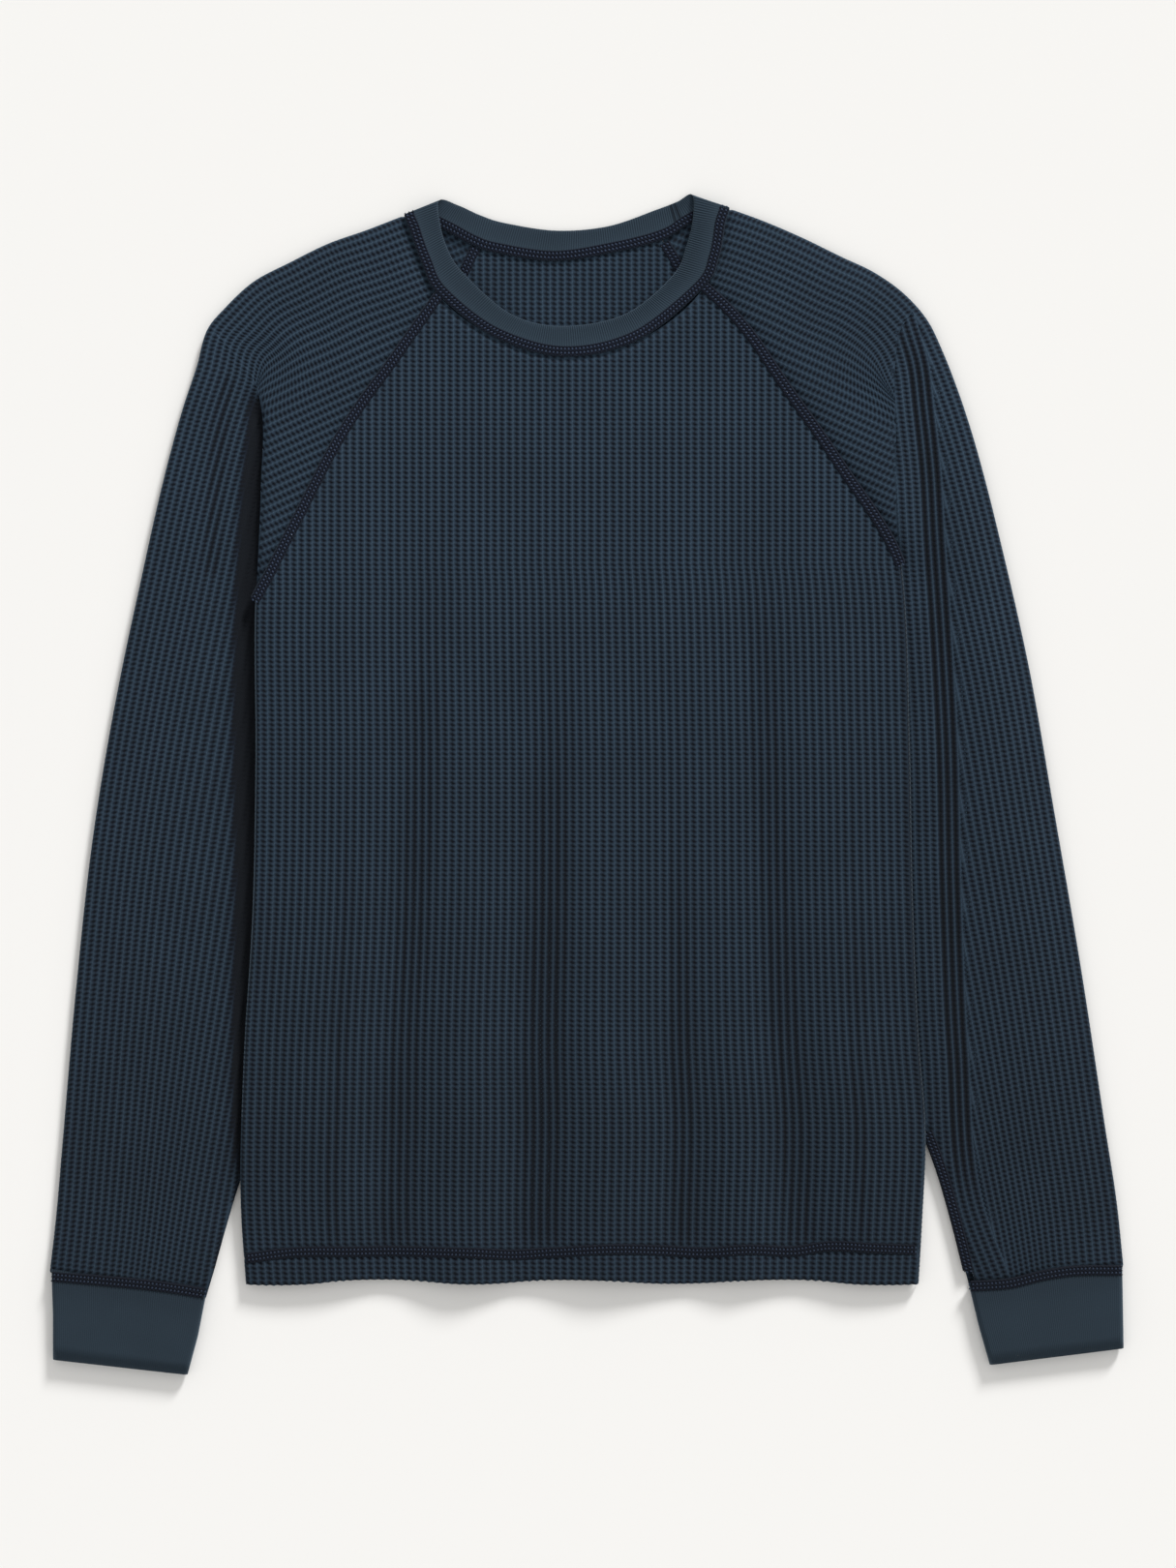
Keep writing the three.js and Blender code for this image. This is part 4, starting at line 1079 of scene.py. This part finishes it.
def cuff_top(sleeve, side):
    """The height of the cloth where a sleeve meets its cuff."""
    outer, inner, tall = CUFFS[side][0]
    width = abs(inner[0] - outer[0])

    def height(at):
        share = np.clip(np.abs(at[..., 0] - outer[0]) / width, 0.0, 1.0)
        edge = np.minimum(share, 1 - share) * width
        fall = CUFF_ROLL - np.sqrt(np.maximum(CUFF_ROLL**2 - np.maximum(CUFF_ROLL - edge, 0)**2, 0))
        return np.maximum(tall, sleeve.top(at)) + CUFF_LIFT - fall

    return height


def collar_seam(ring, low, high, side):
    """The neck seam's stitches along part of the ring, on the face that side names."""
    chosen = (ring.at >= low) & (ring.at <= high)
    lift = RIB_WALL / 2 * side
    points = ring.point(np.full(ring.count, NECK_BAND), lift)[chosen]
    inner = ring.point(np.full(ring.count, NECK_BAND + 1), lift)[chosen]
    above = ring.point(np.full(ring.count, NECK_BAND), lift + side)[chosen]
    return Seam(points, inner - points, above - points)


# Materials

def shader(name):
    material = bpy.data.materials.new(name)
    material.use_nodes = True
    return material, material.node_tree.nodes, material.node_tree.links


def mixed(nodes, links, factor, low, high):
    """A number from a texture's factor, between low and high."""
    spread = nodes.new("ShaderNodeMapRange")
    spread.inputs["From Min"].default_value = 0.3
    spread.inputs["From Max"].default_value = 0.7
    spread.inputs["To Min"].default_value = low
    spread.inputs["To Max"].default_value = high
    links.new(factor, spread.inputs["Value"])
    return spread.outputs["Result"]


def noise(nodes, links, coordinate, scale, detail):
    texture = nodes.new("ShaderNodeTexNoise")
    texture.inputs["Scale"].default_value = scale
    texture.inputs["Detail"].default_value = detail
    links.new(coordinate, texture.inputs["Vector"])
    return texture.outputs["Fac"]


def tinted(nodes, links, colour, number):
    """A colour made lighter or darker by a number."""
    scale = nodes.new("ShaderNodeVectorMath")
    scale.operation = "SCALE"
    links.new(colour, scale.inputs[0])
    links.new(number, scale.inputs["Scale"])
    return scale.outputs["Vector"]


PAINTED_HEM_SHADE, PAINTED_NECK_LIGHT = 0.75, 1.14     # painted light: the cloth is darker towards the hem and lighter towards the neck, as the light falls on it
TONE_REACH = 0.25                    # metres from the middle to the lowest and the highest tone
RAMP_DEPTH = 2.0                     # mm of depth that a colour ramp spans

# Colours by depth in mm. In the knits this paints light into the cloth: a painted highlight on the tops of
# the wales and ribs, and painted shade that darkens it down into the bars, pits, grooves and folds. The
# thread's two depths are its dark and light threads.
WAFFLE_COLOURS = [(0.0, (0.037, 0.067, 0.102)), (0.1, (0.021, 0.038, 0.060)),
                  (0.42, (0.011, 0.021, 0.035)), (0.8, (0.0024, 0.005, 0.011)),
                  (1.3, (0.001, 0.0018, 0.004))]
RIB_COLOURS = [(0.0, (0.025, 0.042, 0.060)), (1.0, (0.0075, 0.014, 0.023)),
               (2.0, (0.002, 0.004, 0.008))]
THREAD_COLOURS = [(0.0, (0.027, 0.040, 0.072)), (1.0, (0.0022, 0.0036, 0.010))]


def textile(name, stops, sheen, yarn, bump):
    """Cloth coloured by its depth, which paints highlight and shade into the knits. stops are (depth in mm,
    colour), and yarn is the yarn's size in mm.
    """
    material, nodes, links = shader(name)
    cloth = nodes["Principled BSDF"]
    cloth.inputs["Roughness"].default_value = 0.88
    cloth.inputs["Specular IOR Level"].default_value = 0.18
    cloth.inputs["Sheen Weight"].default_value = sheen
    cloth.inputs["Sheen Roughness"].default_value = 0.45
    cloth.inputs["Sheen Tint"].default_value = (0.55, 0.74, 0.92, 1)
    depth = nodes.new("ShaderNodeAttribute")
    depth.attribute_name = "depth"
    halved = nodes.new("ShaderNodeMath")
    halved.operation = "MULTIPLY"
    halved.inputs[1].default_value = 1 / RAMP_DEPTH
    links.new(depth.outputs["Fac"], halved.inputs[0])
    ramp = nodes.new("ShaderNodeValToRGB")
    while len(ramp.color_ramp.elements) < len(stops):
        ramp.color_ramp.elements.new(1.0)
    for element, (at, colour) in zip(ramp.color_ramp.elements, stops):
        element.position = at / RAMP_DEPTH
        element.color = (*colour, 1)
    links.new(halved.outputs["Value"], ramp.inputs["Fac"])
    place = nodes.new("ShaderNodeTexCoord")
    wide = noise(nodes, links, place.outputs["Object"], 22, 2)
    fine = noise(nodes, links, place.outputs["UV"], CLOTH_UNIT / yarn, 3)
    parts = nodes.new("ShaderNodeSeparateXYZ")
    links.new(place.outputs["Object"], parts.inputs["Vector"])
    # painted light: the colour is scaled by the place up the garment, darker at the hem and lighter at the
    # neck
    height = nodes.new("ShaderNodeMapRange")
    height.inputs["From Min"].default_value = -TONE_REACH
    height.inputs["From Max"].default_value = TONE_REACH
    height.inputs["To Min"].default_value = PAINTED_HEM_SHADE
    height.inputs["To Max"].default_value = PAINTED_NECK_LIGHT
    links.new(parts.outputs["Y"], height.inputs["Value"])
    colour = tinted(nodes, links, ramp.outputs["Color"], height.outputs["Result"])
    colour = tinted(nodes, links, colour, mixed(nodes, links, wide, 0.94, 1.07))
    colour = tinted(nodes, links, colour, mixed(nodes, links, fine, 0.86, 1.16))
    links.new(colour, cloth.inputs["Base Color"])
    raised = nodes.new("ShaderNodeBump")
    raised.inputs["Strength"].default_value = bump
    raised.inputs["Distance"].default_value = 0.0004
    links.new(fine, raised.inputs["Height"])
    links.new(raised.outputs["Normal"], cloth.inputs["Normal"])
    return material


# Stage

FLOOR_SIZE, FLOOR_LEVEL = 60, -0.0006      # metres
SUN_STRENGTH, SUN_SOFTNESS = 3.3, 13       # and degrees across
SUN_WAY = (-0.42, -0.84, -0.36)            # low, from the upper right
SKY_STRENGTH = 0.66


def make_stage():
    bpy.ops.mesh.primitive_plane_add(size=FLOOR_SIZE, location=(0, 0, FLOOR_LEVEL))
    floor = bpy.context.object
    floor.name = "paper"
    material, nodes, links = shader("paper")
    nodes["Principled BSDF"].inputs["Base Color"].default_value = (0.9, 0.89, 0.87, 1)
    nodes["Principled BSDF"].inputs["Roughness"].default_value = 0.8
    nodes["Principled BSDF"].inputs["Specular IOR Level"].default_value = 0.1
    floor.data.materials.append(material)
    sun = bpy.data.lights.new("key", "SUN")
    sun.energy = SUN_STRENGTH
    sun.angle = math.radians(SUN_SOFTNESS)
    key = bpy.data.objects.new("key", sun)
    key.rotation_mode = "QUATERNION"
    key.rotation_quaternion = Vector(SUN_WAY).to_track_quat("-Z", "Y")
    bpy.context.scene.collection.objects.link(key)
    world = bpy.data.worlds.new("studio")
    world.use_nodes = True
    world.node_tree.nodes["Background"].inputs["Color"].default_value = (1, 0.998, 0.99, 1)
    world.node_tree.nodes["Background"].inputs["Strength"].default_value = SKY_STRENGTH
    bpy.context.scene.world = world


LENS, SENSOR = 85, 36      # mm
VIEW_LENGTH = 1.0368       # metres of the surface along the picture's long side


def make_camera():
    """A camera straight over the garment."""
    data = bpy.data.cameras.new("camera")
    data.type = "PERSP"
    data.lens = LENS
    data.sensor_width = SENSOR
    data.sensor_fit = "AUTO"
    data.clip_start, data.clip_end = 0.1, 20
    camera = bpy.data.objects.new("camera", data)
    camera.location = (0.0008, -0.001, VIEW_LENGTH * LENS / SENSOR)
    bpy.context.scene.collection.objects.link(camera)
    bpy.context.scene.camera = camera


# Scene

waffle_knit = textile("waffle_knit", WAFFLE_COLOURS, sheen=0.3, yarn=0.7, bump=0.5)
rib_knit = textile("rib_knit", RIB_COLOURS, sheen=0.35, yarn=0.5, bump=0.35)
thread = textile("thread", THREAD_COLOURS, sheen=0.25, yarn=0.4, bump=0.3)

front = make_front(waffle_knit)
back = make_back(waffle_knit)
left = Sleeve("sleeve_left", LEFT_LINES, 1, -155, False)
right = Sleeve("sleeve_right", RIGHT_LINES, -1, -25, True)
sleeve_left = left.make(waffle_knit)
sleeve_right = right.make(waffle_knit)
ring = Collar()
collar = ring.make(rib_knit)
cuff_left = make_cuff("left", rib_knit)
cuff_right = make_cuff("right", rib_knit)


def beside_front(sleeve):
    """The height of the cloth at a seam between the front and a sleeve."""

    def height(at):
        return np.maximum(front_top(at), sleeve.top(at)) + RAGLAN_LIFT

    return height


def beside_sleeve(at):
    return right.top(at) + SEAM_LIFT


def back_inside(at):
    return back_top(at) + SEAM_LIFT


neck_front = sew("stitches_neck_front", [collar_seam(ring, 0.22, 9.78, 1)], thread)
neck_back = sew("stitches_neck_back", [collar_seam(ring, 10.3, 17.7, -1)], thread)
raglan_left = sew("stitches_raglan_left", [flat_seam(LEFT_RAGLAN + [(-219.5, 118)], beside_front(left))],
                  thread)
raglan_right = sew("stitches_raglan_right", [flat_seam(RIGHT_RAGLAN + [(206.5, 142)], beside_front(right))],
                   thread)
raglan_inside = sew("stitches_raglan_inside", [
    flat_seam([(-74, 352), (-82, 335), (-90, 314), (-97, 295)], back_inside),
    flat_seam([(51, 355), (60, 340), (70, 318), (79, 300)], back_inside)], thread)
underarm = sew("stitches_underarm", [
    flat_seam(UNDERARM_STITCH, beside_sleeve)], thread)
hem_seam = sew("stitches_hem", [flat_seam(HEM_STITCH, front_top)], thread)
cuff_seam_left = sew("stitches_cuff_left", [flat_seam(CUFF_STITCH["left"], cuff_top(left, "left"))],
                     thread)
cuff_seam_right = sew("stitches_cuff_right", [flat_seam(CUFF_STITCH["right"], cuff_top(right, "right"))],
                      thread)

SEWING = {
    front: [raglan_left, raglan_right, hem_seam], back: [raglan_inside],
    sleeve_left: [cuff_seam_left], sleeve_right: [cuff_seam_right, underarm],
    collar: [neck_front, neck_back], cuff_left: [], cuff_right: [],
}
PIECES = [
    (front, "front", "waffle_knit"), (back, "back", "waffle_knit"),
    (sleeve_left, "sleeve_left", "waffle_knit"), (sleeve_right, "sleeve_right", "waffle_knit"),
    (collar, "collar", "rib_knit"), (cuff_left, "cuff_left", "rib_knit"),
    (cuff_right, "cuff_right", "rib_knit"),
]
for piece, node, finish in PIECES:
    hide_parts(node)
    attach(piece, "root")
    for stitches in SEWING[piece]:
        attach(stitches, "root")

make_stage()
make_camera()
bpy.context.scene.view_settings.view_transform = "Standard"
bpy.context.scene.view_settings.look = "None"
